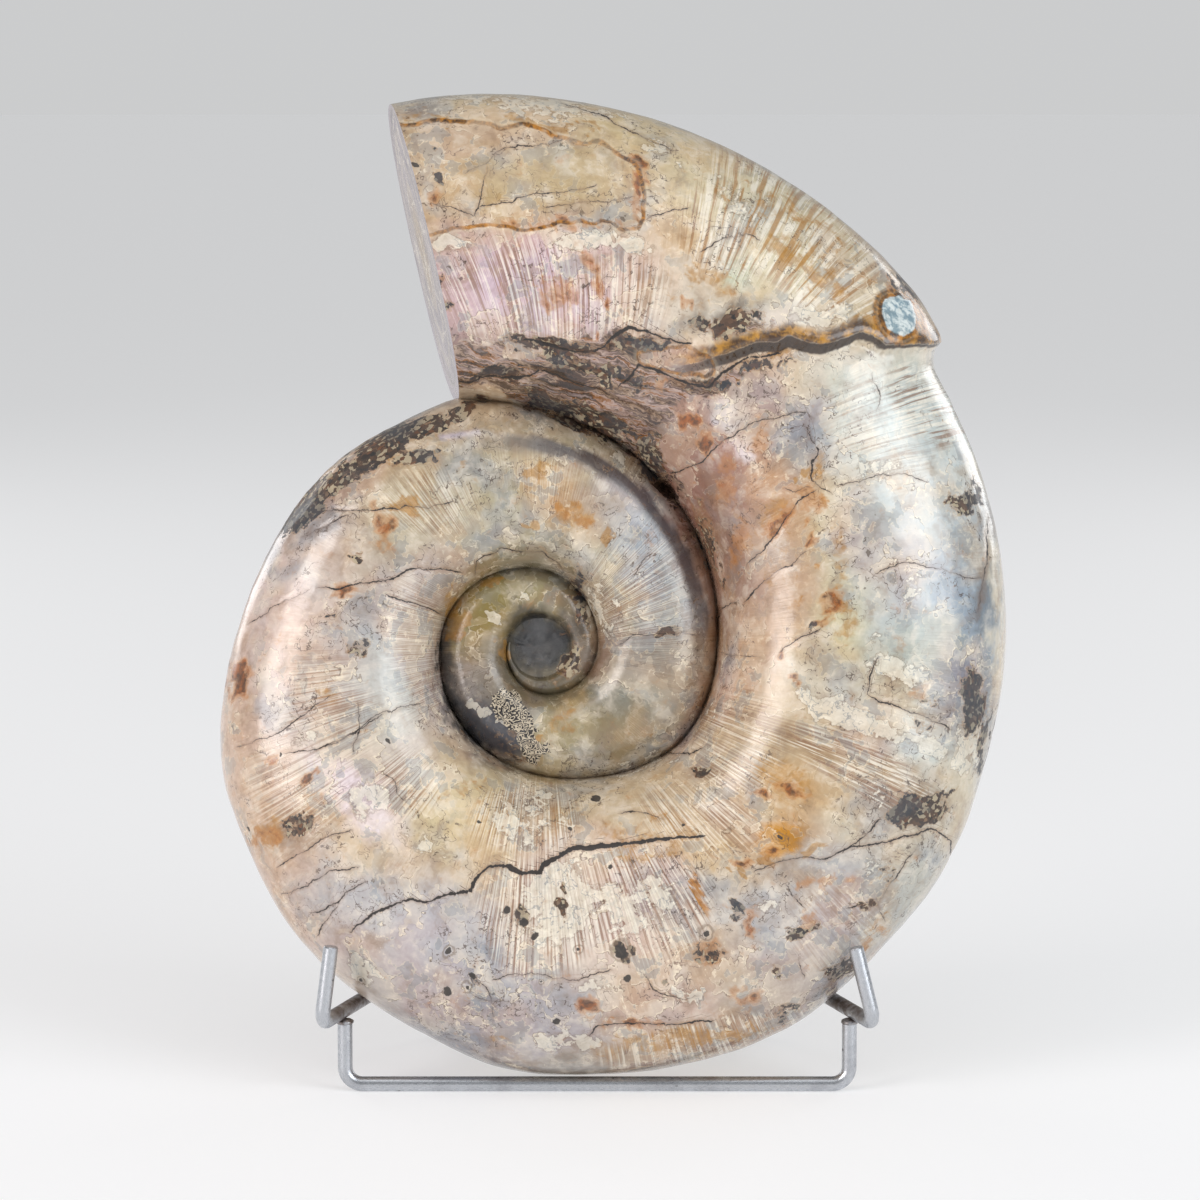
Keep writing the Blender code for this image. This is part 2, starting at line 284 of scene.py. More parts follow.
def whorl_points(turns, shares, side):
    """Points of the flank, eased so that the edge at the saw cut lies on the cut."""
    sections = Sections(turns)
    radius, depth = sections.flank(shares)
    edge = np.clip((shares - 0.875) / 0.125, 0, 1)[None, :]
    edge_cut = cut_turn(radius[:, -1:], side * depth[:, -1:]) - LAST_TURN
    t = turns[:, None]
    below = np.clip((t + 360 - CUT_EASE_FROM) / (LAST_TURN - CUT_EASE_FROM), 0, 1)
    beyond = np.clip(1 - (t - EXPOSED_FROM) / 6, 0, 1)
    shift = edge * edge_cut * np.where(t < EXPOSED_FROM, below, beyond)
    angle = np.broadcast_to(t, radius.shape) + shift
    eased = angle > CUT_EASE_FROM
    co = shell_point(np.where(eased, angle, 0), radius, side * depth)
    flat = np.radians(angle)
    plain = np.stack([radius * np.cos(flat), -side * depth, radius * np.sin(flat)], -1)
    return np.where(eased[..., None], co, plain)


def build_side(net, side, last_columns, last_rows, middle_columns, middle_rows, inner_rows, hub_rings):
    """One side of the shell. Returns its shoulder line, and its first and last columns."""
    turns = np.linspace(EXPOSED_FROM, LAST_TURN, last_columns + 1)
    shares = np.linspace(0, 1, last_rows + 1)
    co = whorl_points(turns, shares, side)
    last = np.empty((last_columns + 1, last_rows + 1), int)
    last[:-1] = net.add(
        co[:-1], np.repeat(turns[:-1], last_rows + 1), np.tile(shares, last_columns), side
    ).reshape(last_columns, -1)
    last[-1, 0] = last[0, -1]
    last[-1, 1:] = net.add(co[-1, 1:], LAST_TURN, shares[1:], side)
    net.grid(last)

    step = 360.0 / middle_columns
    turns = MIDDLE_FROM + step * np.arange(middle_columns)
    shares = np.linspace(0, 1, middle_rows + 1)
    co = whorl_points(turns, shares, side)[:, :-1]
    middle = net.add(
        co, np.repeat(turns, middle_rows), np.tile(shares[:-1], middle_columns), side
    ).reshape(middle_columns, middle_rows)
    net.grid(middle)
    net.zip(middle[:, -1], last[:, 0])
    net.zip(middle[-1], last[0])

    inner_columns = int(round((MIDDLE_FROM - FIRST_TURN) / step))
    turns = FIRST_TURN + step * np.arange(inner_columns)
    shares = np.linspace(0, 1, inner_rows + 1)
    co = whorl_points(turns, shares, side)[:, :-1]
    inner = net.add(
        co, np.repeat(turns, inner_rows), np.tile(shares[:-1], inner_columns), side
    ).reshape(inner_columns, inner_rows)
    net.grid(inner)
    first_seam = int(round((FIRST_TURN + 360 - MIDDLE_FROM) / step))
    seam = list(middle[first_seam:, 0]) + [last[0, 0]]
    net.zip(inner[:, -1], seam)
    net.zip(inner[-1], list(middle[0]) + [last[0, 0]])

    # The hub: a low dome that carries the earliest turns as a small spiral ridge.
    ring = list(inner[:, 0]) + list(middle[: first_seam + 1, 0]) + list(inner[0, :0:-1])
    all_co = np.concatenate(net.co)
    edge = all_co[ring]
    base = np.hypot(edge[:, 0], edge[:, 2])
    angle = np.arctan2(edge[:, 2], edge[:, 0])
    before = np.array(ring)
    for k in range(1, hub_rings):
        f = 1 - k / hub_rings
        radius = base * f
        depth = np.abs(edge[:, 1]) * f**2 + HUB_DEPTH * (1 - f**2)
        phase = np.log(12.0 * MM / radius) / math.log(1.8) - angle / (2 * math.pi)
        ridge = np.abs(np.sin(math.pi * phase)) ** 0.6 - 0.75
        depth = depth + 0.75 * MM * ridge * min(1.0, 4 * (1 - f)) * min(1.0, 2.5 * f)
        co = np.stack([radius * np.cos(angle), -side * depth, radius * np.sin(angle)], -1)
        after = net.add(co, FIRST_TURN, 0.0, side)
        for i in range(len(ring)):
            j = (i + 1) % len(ring)
            net.faces.append([int(before[i]), int(before[j]), int(after[j]), int(after[i])])
        before = after
    centre = net.add([[0.0, -side * HUB_DEPTH, 0.0]], FIRST_TURN, 0.0, side)[0]
    for i in range(len(ring)):
        net.faces.append([int(before[i]), int(before[(i + 1) % len(ring)]), int(centre)])
    return last


def build_shell_net():
    net = Net()
    front = build_side(net, 1, 600, 84, 300, 38, 12, 9)
    back = build_side(net, -1, 300, 40, 180, 18, 6, 5)

    rows = 14
    turns = np.linspace(EXPOSED_FROM, LAST_TURN, len(front))
    shares = np.linspace(0, 1, rows + 1)
    radius, depth = Sections(turns).venter(shares)
    beyond = np.clip(1 - (turns[:, None] - EXPOSED_FROM) / 6, 0, 1)
    angle = turns[:, None] + beyond * (cut_turn(radius, depth) - LAST_TURN)
    ease = np.clip((turns[:, None] - CUT_EASE_FROM) / (LAST_TURN - CUT_EASE_FROM), 0, 1)
    angle = np.radians(angle + ease * (cut_turn(radius, depth) - LAST_TURN))
    co = np.stack([radius * np.cos(angle), -depth, radius * np.sin(angle)], -1)[:, 1:-1]
    venter = net.add(
        co, np.repeat(turns, rows - 1), np.tile(1 + shares[1:-1], len(turns)), 0
    ).reshape(len(turns), rows - 1)
    net.grid(np.concatenate([front[:, -1:], venter], axis=1))
    net.zip(venter[:, -1], back[:, -1])

    outline = (
        list(front[-1, :-1]) + [front[-1, -1]] + list(venter[-1])
        + list(back[-1, ::-1]) + list(venter[0, ::-1])
    )
    return net, outline


# --------------------------------------------- what the front of it looks like
# All places below are in a 1200 by 1200 drawing of the front; x right, y down.

NUDGE = np.array((0.0, -2.0))

CRACKS = [  # width, points
    (2.2, [(352, 929), (371, 913), (393, 903), (412, 897), (426, 901), (448, 892)]),
    (3.4, [(448, 892), (470, 890), (475, 878), (489, 864)]),
    (4.4, [(489, 864), (508, 864), (522, 871), (541, 870), (542, 864), (558, 855), (571, 846)]),
    (3.8, [(571, 846), (593, 845), (618, 842), (645, 839)]),
    (2.7, [(645, 839), (681, 835), (702, 834)]),
    (1.6, [(753, 869), (783, 858), (806, 855), (824, 858), (850, 845), (870, 830), (880, 817)]),
    (1.6, [(842, 850), (862, 844), (895, 838), (921, 831), (931, 826), (952, 840), (952, 858)]),
    (1.1, [(464, 171), (487, 160), (497, 149), (513, 144), (543, 141), (564, 137)]),
    (1.0, [(487, 160), (482, 187), (478, 205), (474, 213)]),
    (1.0, [(408, 182), (423, 182)]),
    (1.0, [(431, 201), (454, 205), (474, 213)]),
    (1.0, [(478, 205), (495, 202), (518, 195), (564, 190), (597, 182)]),
    (1.0, [(543, 205), (584, 199), (610, 199), (635, 193)]),
    (1.0, [(645, 218), (666, 210), (691, 205)]),
    (3.6, [(523, 338), (543, 343), (559, 348), (584, 350), (604, 345), (615, 333), (630, 325), (655, 333), (673, 338), (691, 341)]),
    (2.6, [(456, 381), (487, 376), (523, 376), (543, 368), (564, 376), (597, 389), (610, 386)]),
    (3.0, [(617, 386), (638, 363), (661, 371), (686, 381), (709, 386), (722, 371), (742, 358), (780, 350)]),
    (1.0, [(834, 483), (873, 475), (882, 472), (907, 472), (926, 479)]),
    (1.6, [(989, 517), (988, 553), (984, 577), (979, 613)]),
    (1.0, [(873, 572), (907, 560), (943, 567), (965, 576), (982, 575)]),
    (1.2, [(667, 471), (701, 461), (725, 437), (756, 420), (781, 415), (805, 410), (814, 417)]),
    (1.5, [(805, 422), (814, 441), (821, 451), (812, 458), (810, 475), (819, 485), (831, 490)]),
    (1.0, [(785, 487), (795, 490), (814, 485)]),
    (1.3, [(817, 487), (797, 500), (785, 517), (771, 538), (756, 553), (744, 567)]),
    (1.2, [(810, 548), (795, 560), (771, 575), (756, 587), (744, 601)]),
    (1.0, [(722, 651), (748, 654), (758, 655)]),
    (1.1, [(821, 626), (799, 636), (783, 646), (778, 654)]),
    (1.4, [(878, 654), (870, 674), (867, 692), (890, 702), (926, 715), (952, 728)]),
    (1.0, [(620, 811), (648, 811), (663, 817)]),
    (1.1, [(786, 881), (792, 893), (804, 906)]),
    (1.0, [(918, 845), (900, 870), (883, 896), (862, 902), (847, 906)]),
    (1.0, [(878, 899), (880, 910), (885, 919)]),
    (1.1, [(799, 958), (800, 966), (805, 975)]),
    (1.0, [(492, 979), (516, 972), (538, 972), (569, 979), (599, 971), (612, 968)]),
    (1.0, [(473, 993), (489, 999), (505, 999)]),
    (1.1, [(478, 979), (490, 993), (494, 1018)]),
    (1.1, [(643, 971), (653, 988), (664, 993), (684, 998), (700, 994)]),
    (1.6, [(585, 1037), (596, 1025), (618, 1022), (653, 1023), (714, 1019)]),
    (1.1, [(236, 746), (273, 734), (297, 717), (321, 700), (333, 693)]),
    (1.1, [(284, 752), (315, 748), (334, 740), (357, 729), (384, 711)]),
    (1.1, [(326, 744), (340, 739), (355, 731), (370, 717), (399, 705), (423, 701)]),
    (1.2, [(358, 700), (359, 729), (353, 750)]),
    (1.1, [(384, 772), (393, 776), (397, 792), (406, 800)]),
    (1.1, [(276, 866), (290, 857), (307, 849), (322, 837), (338, 832), (351, 828)]),
    (1.2, [(282, 892), (307, 884), (330, 868), (357, 865)]),
    (1.4, [(311, 911), (322, 909), (332, 902), (338, 901), (345, 891), (366, 879)]),
    (1.1, [(338, 903), (322, 924), (317, 935)]),
    (1.2, [(321, 508), (355, 508), (384, 506), (413, 505), (428, 506), (454, 499)]),
    (1.1, [(302, 535), (324, 525), (336, 518), (350, 513)]),
    (1.5, [(319, 586), (336, 588), (355, 582), (384, 579), (411, 567), (442, 567), (462, 571)]),
    (1.1, [(248, 622), (278, 603), (311, 586)]),
    (1.8, [(387, 593), (413, 601), (433, 608), (442, 613)]),
    (1.0, [(475, 573), (477, 559), (501, 547), (543, 550), (562, 566)]),
    (1.0, [(633, 576), (640, 562), (652, 552)]),
    (1.1, [(616, 644), (633, 632), (657, 632), (690, 632), (699, 635)]),
    (1.0, [(735, 600), (720, 607), (716, 622)]),
    (1.0, [(645, 760), (668, 750), (690, 752), (706, 744)]),
    (1.0, [(560, 100), (600, 112), (640, 132), (676, 150)]),
    (1.0, [(700, 250), (722, 236), (748, 231), (760, 240)]),
    (1.1, [(872, 372), (880, 392), (876, 410)]),
]


def wiggle(points, seed, size=1.0):
    """The same line with small bends added between its points."""
    made = [points[0]]
    for k, (a, b) in enumerate(zip(points, points[1:])):
        a, b = np.array(a, float), np.array(b, float)
        run = np.linalg.norm(b - a)
        parts = max(1, int(run / 7))
        side = np.array((-(b - a)[1], (b - a)[0])) / max(run, 1e-6)
        for i in range(1, parts):
            sway = noise.noise((k * 3.1 + i * 0.9, seed * 7.3, 0.5)) * 3.6 * size
            made.append(tuple(a + (b - a) * i / parts + side * sway))
        made.append(tuple(b))
    return made


def line_field(uv, points):
    """Signed distance to a broken line, and how far along it (0 to 1), and past its ends."""
    p = np.array(points, float)
    best = np.full(len(uv), 1e9)
    sign = np.ones(len(uv))
    along = np.zeros(len(uv))
    past = np.zeros(len(uv), bool)
    seg = p[1:] - p[:-1]
    length = np.linalg.norm(seg, axis=1)
    total = max(length.sum(), 1e-6)
    run = 0.0
    for k in range(len(seg)):
        d = uv - p[k]
        t = (d @ seg[k]) / max(length[k] ** 2, 1e-9)
        tc = np.clip(t, 0, 1)
        off = d - tc[:, None] * seg[k]
        dist = np.hypot(off[:, 0], off[:, 1])
        cross = seg[k][0] * d[:, 1] - seg[k][1] * d[:, 0]
        closer = dist < best
        best = np.where(closer, dist, best)
        sign = np.where(closer, np.where(cross >= 0, 1.0, -1.0), sign)
        along = np.where(closer, (run + tc * length[k]) / total, along)
        over = ((k == 0) & (t < 0)) | ((k == len(seg) - 1) & (t > 1))
        past = np.where(closer, over, past)
        run += length[k]
    return best, sign, along, past


def area_field(uv, points):
    """Signed distance to a closed outline, positive inside."""
    p = list(points) + [points[0]]
    best, _, _, _ = line_field(uv, p)
    inside = np.zeros(len(uv), bool)
    for (x0, y0), (x1, y1) in zip(p, p[1:]):
        if y0 == y1:
            continue
        crosses = (uv[:, 1] >= min(y0, y1)) & (uv[:, 1] < max(y0, y1))
        x = x0 + (uv[:, 1] - y0) * (x1 - x0) / (y1 - y0)
        inside ^= crosses & (uv[:, 0] < x)
    return np.where(inside, best, -best)


def blob(uv, x, y, rx, ry, angle=0.0):
    """1 in the middle of an ellipse, falling smoothly to 0 at about 1.6 radii."""
    a = math.radians(angle)
    d = uv - np.array((x, y), float)
    along = (d[:, 0] * math.cos(a) + d[:, 1] * math.sin(a)) / rx
    across = (-d[:, 0] * math.sin(a) + d[:, 1] * math.cos(a)) / ry
    q = np.hypot(along, across)
    t = np.clip((1.55 - q) / 1.1, 0, 1)
    return t * t * (3 - 2 * t)


def smooth(low, high, x):
    t = np.clip((x - low) / (high - low), 0, 1)
    return t * t * (3 - 2 * t)


def soft_noise(points, size, seed, octaves=3):
    """Smooth noise between about -1 and 1 at the points, in a cell of this size."""
    q = points / size + seed * 13.7
    return np.array([noise.fractal(Vector(p), 0.6, 2.0, octaves) for p in q])


# Colour patches: x, y, half width, half height, turn, colour, strength.
# Colour patches of the shell, with some painted highlights and painted shade among them, marked below.
PEARL_AND_PAINTED_LIGHT = [
    (825, 908, 72, 42, -35, (166, 171, 180), 0.6), (895, 895, 50, 40, -45, (178, 182, 180), 0.55),
    (890, 415, 84, 62, 25, (200, 206, 204), 0.85), (905, 500, 60, 50, 0, (206, 212, 212), 0.8),
    (915, 590, 62, 60, 0, (190, 196, 196), 0.7), (955, 640, 34, 90, 0, (150, 162, 176), 0.7),
    (850, 560, 40, 60, 0, (196, 190, 176), 0.6), (840, 700, 70, 40, 25, (202, 190, 172), 0.6),
    (290, 620, 50, 110, 8, (206, 194, 192), 0.7), (250, 740, 40, 80, 20, (196, 176, 160), 0.5),
    # The pale patch at 356,798 is a painted highlight, a glossy reflection on the lower left flank.
    (380, 690, 54, 110, 0, (188, 190, 190), 0.65), (356, 798, 62, 22, 42, (236, 230, 236), 1.0),
    (390, 930, 80, 60, 20, (188, 188, 190), 0.7), (500, 1005, 110, 44, 5, (172, 168, 170), 0.75),
    (540, 290, 100, 46, 0, (208, 192, 200), 0.8), (430, 290, 40, 56, 0, (196, 178, 178), 0.6),
    (780, 230, 110, 50, 40, (208, 202, 180), 0.7), (660, 280, 50, 50, 0, (212, 200, 184), 0.7),
    (560, 900, 60, 50, 0, (214, 208, 200), 0.6), (640, 800, 80, 40, 0, (200, 180, 150), 0.5),
    (430, 520, 60, 40, 0, (196, 188, 170), 0.6), (330, 560, 40, 40, 0, (192, 180, 170), 0.5),
    (700, 470, 46, 76, -24, (158, 124, 112), 0.85), (770, 560, 50, 50, 0, (184, 160, 142), 0.6),
    (730, 640, 40, 60, 20, (204, 184, 172), 0.5), (800, 438, 26, 30, 0, (158, 160, 164), 0.8),
    (962, 690, 22, 56, -18, (96, 108, 122), 0.75), (986, 600, 9, 44, 0, (112, 122, 132), 0.65),
    (930, 640, 34, 26, 0, (168, 172, 160), 0.6), (722, 520, 15, 84, -16, (136, 106, 92), 0.75),
    (724, 612, 13, 56, 6, (144, 114, 96), 0.65), (300, 830, 34, 18, -20, (142, 116, 88), 0.6),
    (676, 361, 36, 10, 2, (190, 162, 150), 0.9), (525, 349, 22, 7, 0, (176, 170, 166), 0.85),
    # The dark strips at 448,664, 462,716, 609,604 and 604,654 are painted shade beside the third turn.
    (448, 664, 8, 44, 4, (64, 66, 70), 0.75), (462, 716, 10, 26, -34, (58, 60, 66), 0.8),
    (609, 604, 10, 34, -18, (110, 98, 94), 0.6), (604, 654, 10, 28, 18, (124, 100, 86), 0.6),
    (572, 606, 16, 30, -14, (84, 76, 66), 0.6), (560, 690, 22, 14, -30, (96, 92, 82), 0.5),
    # The pale spots at 725,415 and 744,446 are painted highlights on the pink flank.
    (780, 838, 24, 14, -25, (168, 126, 44), 1.0), (725, 415, 10, 16, -40, (236, 232, 236), 0.8),
    # The grey bands at 470,1050, 600,1066 and 740,1042 are painted shade on the venter, which turns down and away
    # below the flank.
    (744, 446, 10, 12, -30, (232, 228, 232), 0.7), (470, 1050, 90, 15, 22, (126, 122, 130), 0.75),
    (600, 1066, 80, 12, 0, (130, 124, 120), 0.65), (740, 1042, 100, 16, -14, (148, 136, 114), 0.65),
    (800, 900, 80, 60, -30, (178, 176, 178), 0.6), (700, 960, 70, 40, 0, (186, 172, 158), 0.5),
]
PAINT = [
    # bottom and left flank, from below upwards
    (620, 960, 330, 120, -5, (196, 184, 172), 1.0),
    (300, 720, 110, 260, 0, (208, 186, 170), 1.0),
    (480, 840, 190, 90, 10, (206, 190, 162), 0.9),
    (560, 920, 120, 60, 0, (206, 192, 182), 0.8),
    (640, 900, 60, 60, 0, (208, 182, 172), 0.7),
    (440, 935, 60, 46, 25, (168, 172, 184), 0.85),
    (400, 880, 60, 24, -15, (200, 190, 184), 0.6),
    (515, 1020, 80, 38, 5, (172, 168, 178), 0.85),
    (620, 1000, 80, 26, 0, (190, 168, 152), 0.7),
    (720, 1032, 130, 18, -12, (182, 160, 128), 0.8),
    (560, 1062, 70, 12, 3, (206, 198, 184), 0.6),
    (700, 960, 60, 40, -20, (190, 174, 158), 0.6),
    (790, 990, 70, 40, -35, (166, 160, 152), 0.7),
    (850, 960, 60, 40, -45, (142, 148, 156), 0.75),
    (900, 890, 50, 50, -50, (184, 180, 170), 0.8),
    (830, 900, 60, 46, -30, (190, 180, 166), 0.7),
    (750, 900, 46, 40, 0, (204, 190, 172), 0.7),
    (250, 640, 40, 90, 14, (204, 178, 158), 0.7),
    (300, 590, 44, 70, 30, (212, 186, 172), 0.8),
    (345, 650, 30, 40, 0, (182, 156, 134), 0.6),
    (395, 660, 32, 110, -4, (206, 206, 196), 0.8),
    (410, 770, 44, 70, -25, (212, 200, 168), 0.8),
    (365, 800, 46, 40, 40, (204, 178, 150), 0.6),
    (300, 820, 50, 26, -20, (168, 138, 112), 0.65),
    (262, 770, 26, 60, -10, (210, 188, 172), 0.7),
    (300, 870, 40, 40, 40, (196, 176, 164), 0.6),
    (350, 900, 60, 24, 25, (188, 176, 172), 0.6),
    (470, 800, 60, 30, 20, (214, 198, 164), 0.7),
    (560, 800, 60, 30, 0, (210, 192, 160), 0.7),
    (640, 800, 60, 36, -15, (208, 196, 178), 0.7),
    # upper left
    (390, 520, 80, 56, -35, (178, 164, 144), 0.9),
    (330, 560, 60, 34, -40, (204, 184, 164), 0.75),
    (440, 480, 70, 36, -15, (186, 172, 142), 0.75),
    (470, 440, 70, 20, -8, (170, 150, 128), 0.7),
    (340, 520, 30, 24, -40, (150, 132, 116), 0.5),
    (400, 560, 40, 20, -15, (190, 180, 164), 0.6),
    # second whorl
    (570, 600, 150, 170, 0, (148, 141, 124), 1.0),
    (560, 470, 110, 36, 8, (172, 162, 138), 0.85),
    (540, 480, 40, 26, 0, (192, 164, 112), 0.55),
    (500, 510, 40, 40, 0, (182, 172, 140), 0.6),
    (640, 530, 46, 60, -30, (154, 162, 166), 0.85),
    (672, 600, 34, 60, 0, (150, 158, 164), 0.8),
    # The dark grey-purple strip at 695,560 is painted shade, on this turn's outer slope down to the seam.
    (695, 560, 14, 70, -14, (104, 96, 102), 0.7),
    (650, 680, 46, 46, 20, (134, 134, 126), 0.85),
    (600, 740, 60, 28, -15, (140, 128, 100), 0.8),
    (520, 760, 50, 16, 10, (180, 168, 138), 0.7),
    (455, 690, 12, 60, -10, (120, 112, 92), 0.7),
    (600, 590, 22, 60, -10, (206, 194, 166), 0.75),
    (570, 520, 30, 20, 10, (190, 158, 110), 0.5),
    (640, 560, 18, 50, -20, (186, 192, 200), 0.6),
    # third whorl and the middle
    (525, 650, 72, 74, 0, (102, 94, 70), 1.0),
    (480, 610, 24, 40, 20, (150, 136, 82), 0.8),
    (496, 726, 48, 28, 42, (62, 64, 72), 1.0),
    (560, 720, 34, 26, -30, (172, 162, 130), 0.7),
    (580, 630, 14, 46, -12, (104, 92, 76), 0.8),
    (545, 596, 36, 14, 10, (160, 150, 110), 0.8),
    (539, 642, 30, 30, 0, (40, 41, 44), 1.0),
    (546, 654, 12, 12, 0, (62, 60, 58), 0.7),
    # right flank
    (860, 640, 150, 240, 0, (202, 192, 170), 1.0),
    (930, 640, 60, 180, 4, (186, 190, 188), 0.85),
    # The pale blue-white at 880,430 and 900,590 is partly the flank's own nacre tone and partly a painted sheen of the
    # broad glow on this flank.
    (880, 430, 90, 80, 25, (212, 216, 206), 0.95),
    (930, 440, 40, 60, 20, (196, 206, 208), 0.7),
    (850, 380, 60, 18, -12, (214, 204, 168), 0.75),
    (945, 520, 34, 50, 0, (168, 182, 194), 0.7),
    (900, 590, 56, 66, 0, (206, 208, 206), 0.85),
    (840, 590, 24, 90, -4, (208, 202, 160), 0.75),
    (965, 620, 26, 80, 0, (168, 180, 186), 0.7),
    (850, 520, 26, 60, 0, (206, 198, 178), 0.6),
    (745, 440, 76, 70, 20, (182, 148, 128), 0.9),
    (700, 500, 36, 90, -14, (152, 118, 102), 0.85),
    (735, 580, 34, 80, -6, (184, 150, 134), 0.85),
    (790, 440, 26, 30, 0, (164, 152, 144), 0.7),
    (770, 520, 34, 40, 20, (196, 160, 130), 0.6),
    (720, 410, 60, 20, 5, (168, 128, 112), 0.6),
    (790, 600, 30, 60, 0, (200, 172, 146), 0.7),
    (745, 680, 34, 70, 14, (206, 180, 156), 0.85),
    (820, 690, 46, 60, 20, (200, 180, 150), 0.8),
    (720, 760, 60, 50, 40, (200, 182, 156), 0.85),
    (905, 690, 60, 36, 15, (188, 180, 160), 0.8),
    (895, 640, 40, 26, 0, (176, 178, 166), 0.6),
    (972, 690, 22, 44, 0, (112, 124, 136), 0.75),
    (966, 760, 20, 60, 12, (206, 196, 176), 0.8),
    (880, 715, 90, 20, 30, (210, 214, 208), 0.8),
    (860, 765, 90, 26, 27, (170, 146, 116), 0.8),
    (860, 800, 80, 20, 27, (188, 164, 132), 0.7),
    (912, 812, 30, 18, -20, (96, 92, 92), 0.6),
    (780, 838, 34, 20, -25, (176, 126, 60), 0.75),
    (790, 790, 40, 24, 35, (196, 158, 110), 0.6),
    (700, 770, 20, 12, 0, (120, 118, 116), 0.5),
    (720, 850, 60, 24, 10, (206, 178, 134), 0.6),
    (860, 850, 60, 16, -12, (186, 176, 160), 0.6),
    (700, 700, 16, 60, 30, (160, 132, 118), 0.6),
    # top, from the seam upwards
    (640, 250, 270, 140, 12, (202, 184, 158), 1.0),
    (800, 220, 130, 60, 42, (196, 180, 150), 0.8),
    (530, 290, 110, 60, 0, (196, 176, 192), 0.9),
    (640, 280, 50, 50, 0, (216, 190, 174), 0.7),
    (455, 270, 24, 60, 10, (190, 164, 168), 0.7),
    (490, 330, 60, 20, 5, (164, 146, 146), 0.8),
    (450, 350, 30, 36, 10, (130, 104, 100), 0.75),
    (545, 112, 170, 18, 6, (212, 196, 164), 0.9),
    (640, 130, 60, 20, 22, (206, 188, 152), 0.7),
    (700, 180, 60, 50, 30, (208, 192, 162), 0.7),
    (770, 250, 60, 40, 30, (204, 188, 156), 0.7),
    (742, 268, 16, 16, 0, (190, 200, 182), 0.8),
    (800, 245, 40, 20, 40, (188, 180, 160), 0.5),
    (870, 260, 50, 24, 45, (186, 168, 136), 0.7),
    (520, 174, 120, 38, 3, (182, 164, 130), 0.95),
    (440, 190, 40, 36, 0, (194, 168, 138), 0.6),
    (590, 236, 80, 9, 5, (224, 212, 192), 0.85),
    (440, 240, 40, 9, 5, (216, 200, 180), 0.7),
    (700, 305, 50, 20, 10, (186, 182, 174), 0.7),
    (742, 314, 60, 13, -8, (112, 108, 104), 0.8),
    (800, 312, 60, 18, -14, (208, 206, 200), 0.9),
    (850, 306, 30, 18, -20, (220, 206, 182), 0.7),
    (897, 314, 17, 20, 0, (186, 200, 206), 1.0),
    (580, 358, 130, 22, 6, (116, 94, 82), 0.85),
    (600, 404, 90, 20, 24, (84, 64, 54), 0.85),
    (500, 356, 40, 10, -4, (176, 160, 140), 0.7),
    (676, 356, 34, 14, 5, (198, 164, 146), 0.9),
    (700, 392, 60, 12, 0, (112, 88, 76), 0.6),
    (630, 430, 30, 16, 35, (100, 80, 72), 0.7),
]

# Soft masks: x, y, half width, half height, turn, strength.
DARK = [
    (735, 905, 8, 16, -20, 0.65), (800, 925, 16, 6, -30, 0.6), (868, 905, 18, 5, -40, 0.6), (660, 985, 12, 5, 0, 0.6),
    (640, 872, 6, 8, 0, 0.5), (830, 890, 10, 5, 30, 0.55), (890, 870, 8, 12, 20, 0.5), (775, 965, 10, 6, 0, 0.6),
    (905, 286, 24, 9, 34, 0.62), (500, 730, 26, 16, 40, 0.42), (515, 752, 20, 12, 30, 0.45), (345, 480, 60, 9, -40, 0.5),
    (310, 500, 40, 12, -48, 1.1), (345, 472, 34, 13, -42, 1.1), (385, 442, 40, 14, -30, 1.0),
    (425, 424, 34, 9, -12, 0.8), (470, 408, 22, 8, -14, 0.8), (420, 455, 28, 7, -10, 1.0),
    (293, 515, 14, 8, -50, 0.9), (560, 345, 50, 8, 5, 0.8), (600, 372, 60, 10, 12, 0.8),
    (640, 340, 40, 7, 2, 0.75), (575, 412, 60, 12, 22, 0.85), (650, 455, 24, 14, 60, 0.8),
    (490, 372, 40, 6, -2, 0.7), (734, 318, 32, 8, -4, 0.8), (708, 326, 26, 6, 20, 0.75),
    (708, 384, 32, 6, -4, 0.8), (760, 362, 40, 5, -12, 0.8),
    (966, 497, 14, 18, 60, 0.75), (972, 700, 12, 34, 0, 0.75), (915, 808, 30, 17, -18, 1.1),
    (985, 740, 8, 40, 8, 0.75), (701, 766, 11, 9, 0, 0.95), (712, 948, 14, 12, 0, 0.6),
    (845, 965, 26, 12, -40, 0.7), (562, 897, 3, 24, 0, 0.9), (440, 152, 8, 5, 0, 0.5),
    (437, 175, 5, 9, 0, 0.8), (412, 162, 5, 4, 0, 0.8), (441, 282, 5, 10, 0, 0.75),
    (447, 302, 5, 6, 0, 0.7), (298, 824, 24, 14, -15, 0.6), (354, 645, 16, 8, 0, 0.55),
    (672, 629, 14, 5, 0, 0.75), (580, 600, 12, 30, -10, 0.72), (572, 660, 12, 24, 20, 0.66), (605, 465, 8, 5, 0, 0.6),
    (358, 557, 6, 5, 0, 0.7), (332, 619, 6, 4, 0, 0.6), (538, 748, 13, 14, 30, 0.85),
    (521, 916, 12, 10, 40, 0.75), (700, 700, 8, 34, 24, 0.45), (622, 949, 8, 8, 0, 0.9),
    (596, 796, 5, 4, 0, 0.8), (474, 974, 7, 6, 0, 0.7), (816, 627, 12, 6, 0, 0.7),
    (790, 1010, 20, 5, -30, 0.5), (470, 1000, 5, 5, 0, 0.5), (914, 720, 26, 5, 25, 0.5),
    (944, 792, 16, 6, -30, 0.7), (866, 775, 20, 4, 27, 0.4), (930, 700, 18, 8, 0, 0.45),
    (705, 540, 8, 60, -12, 0.5), (950, 410, 12, 5, 55, 0.5), (384, 436, 26, 9, -20, 0.6),
]
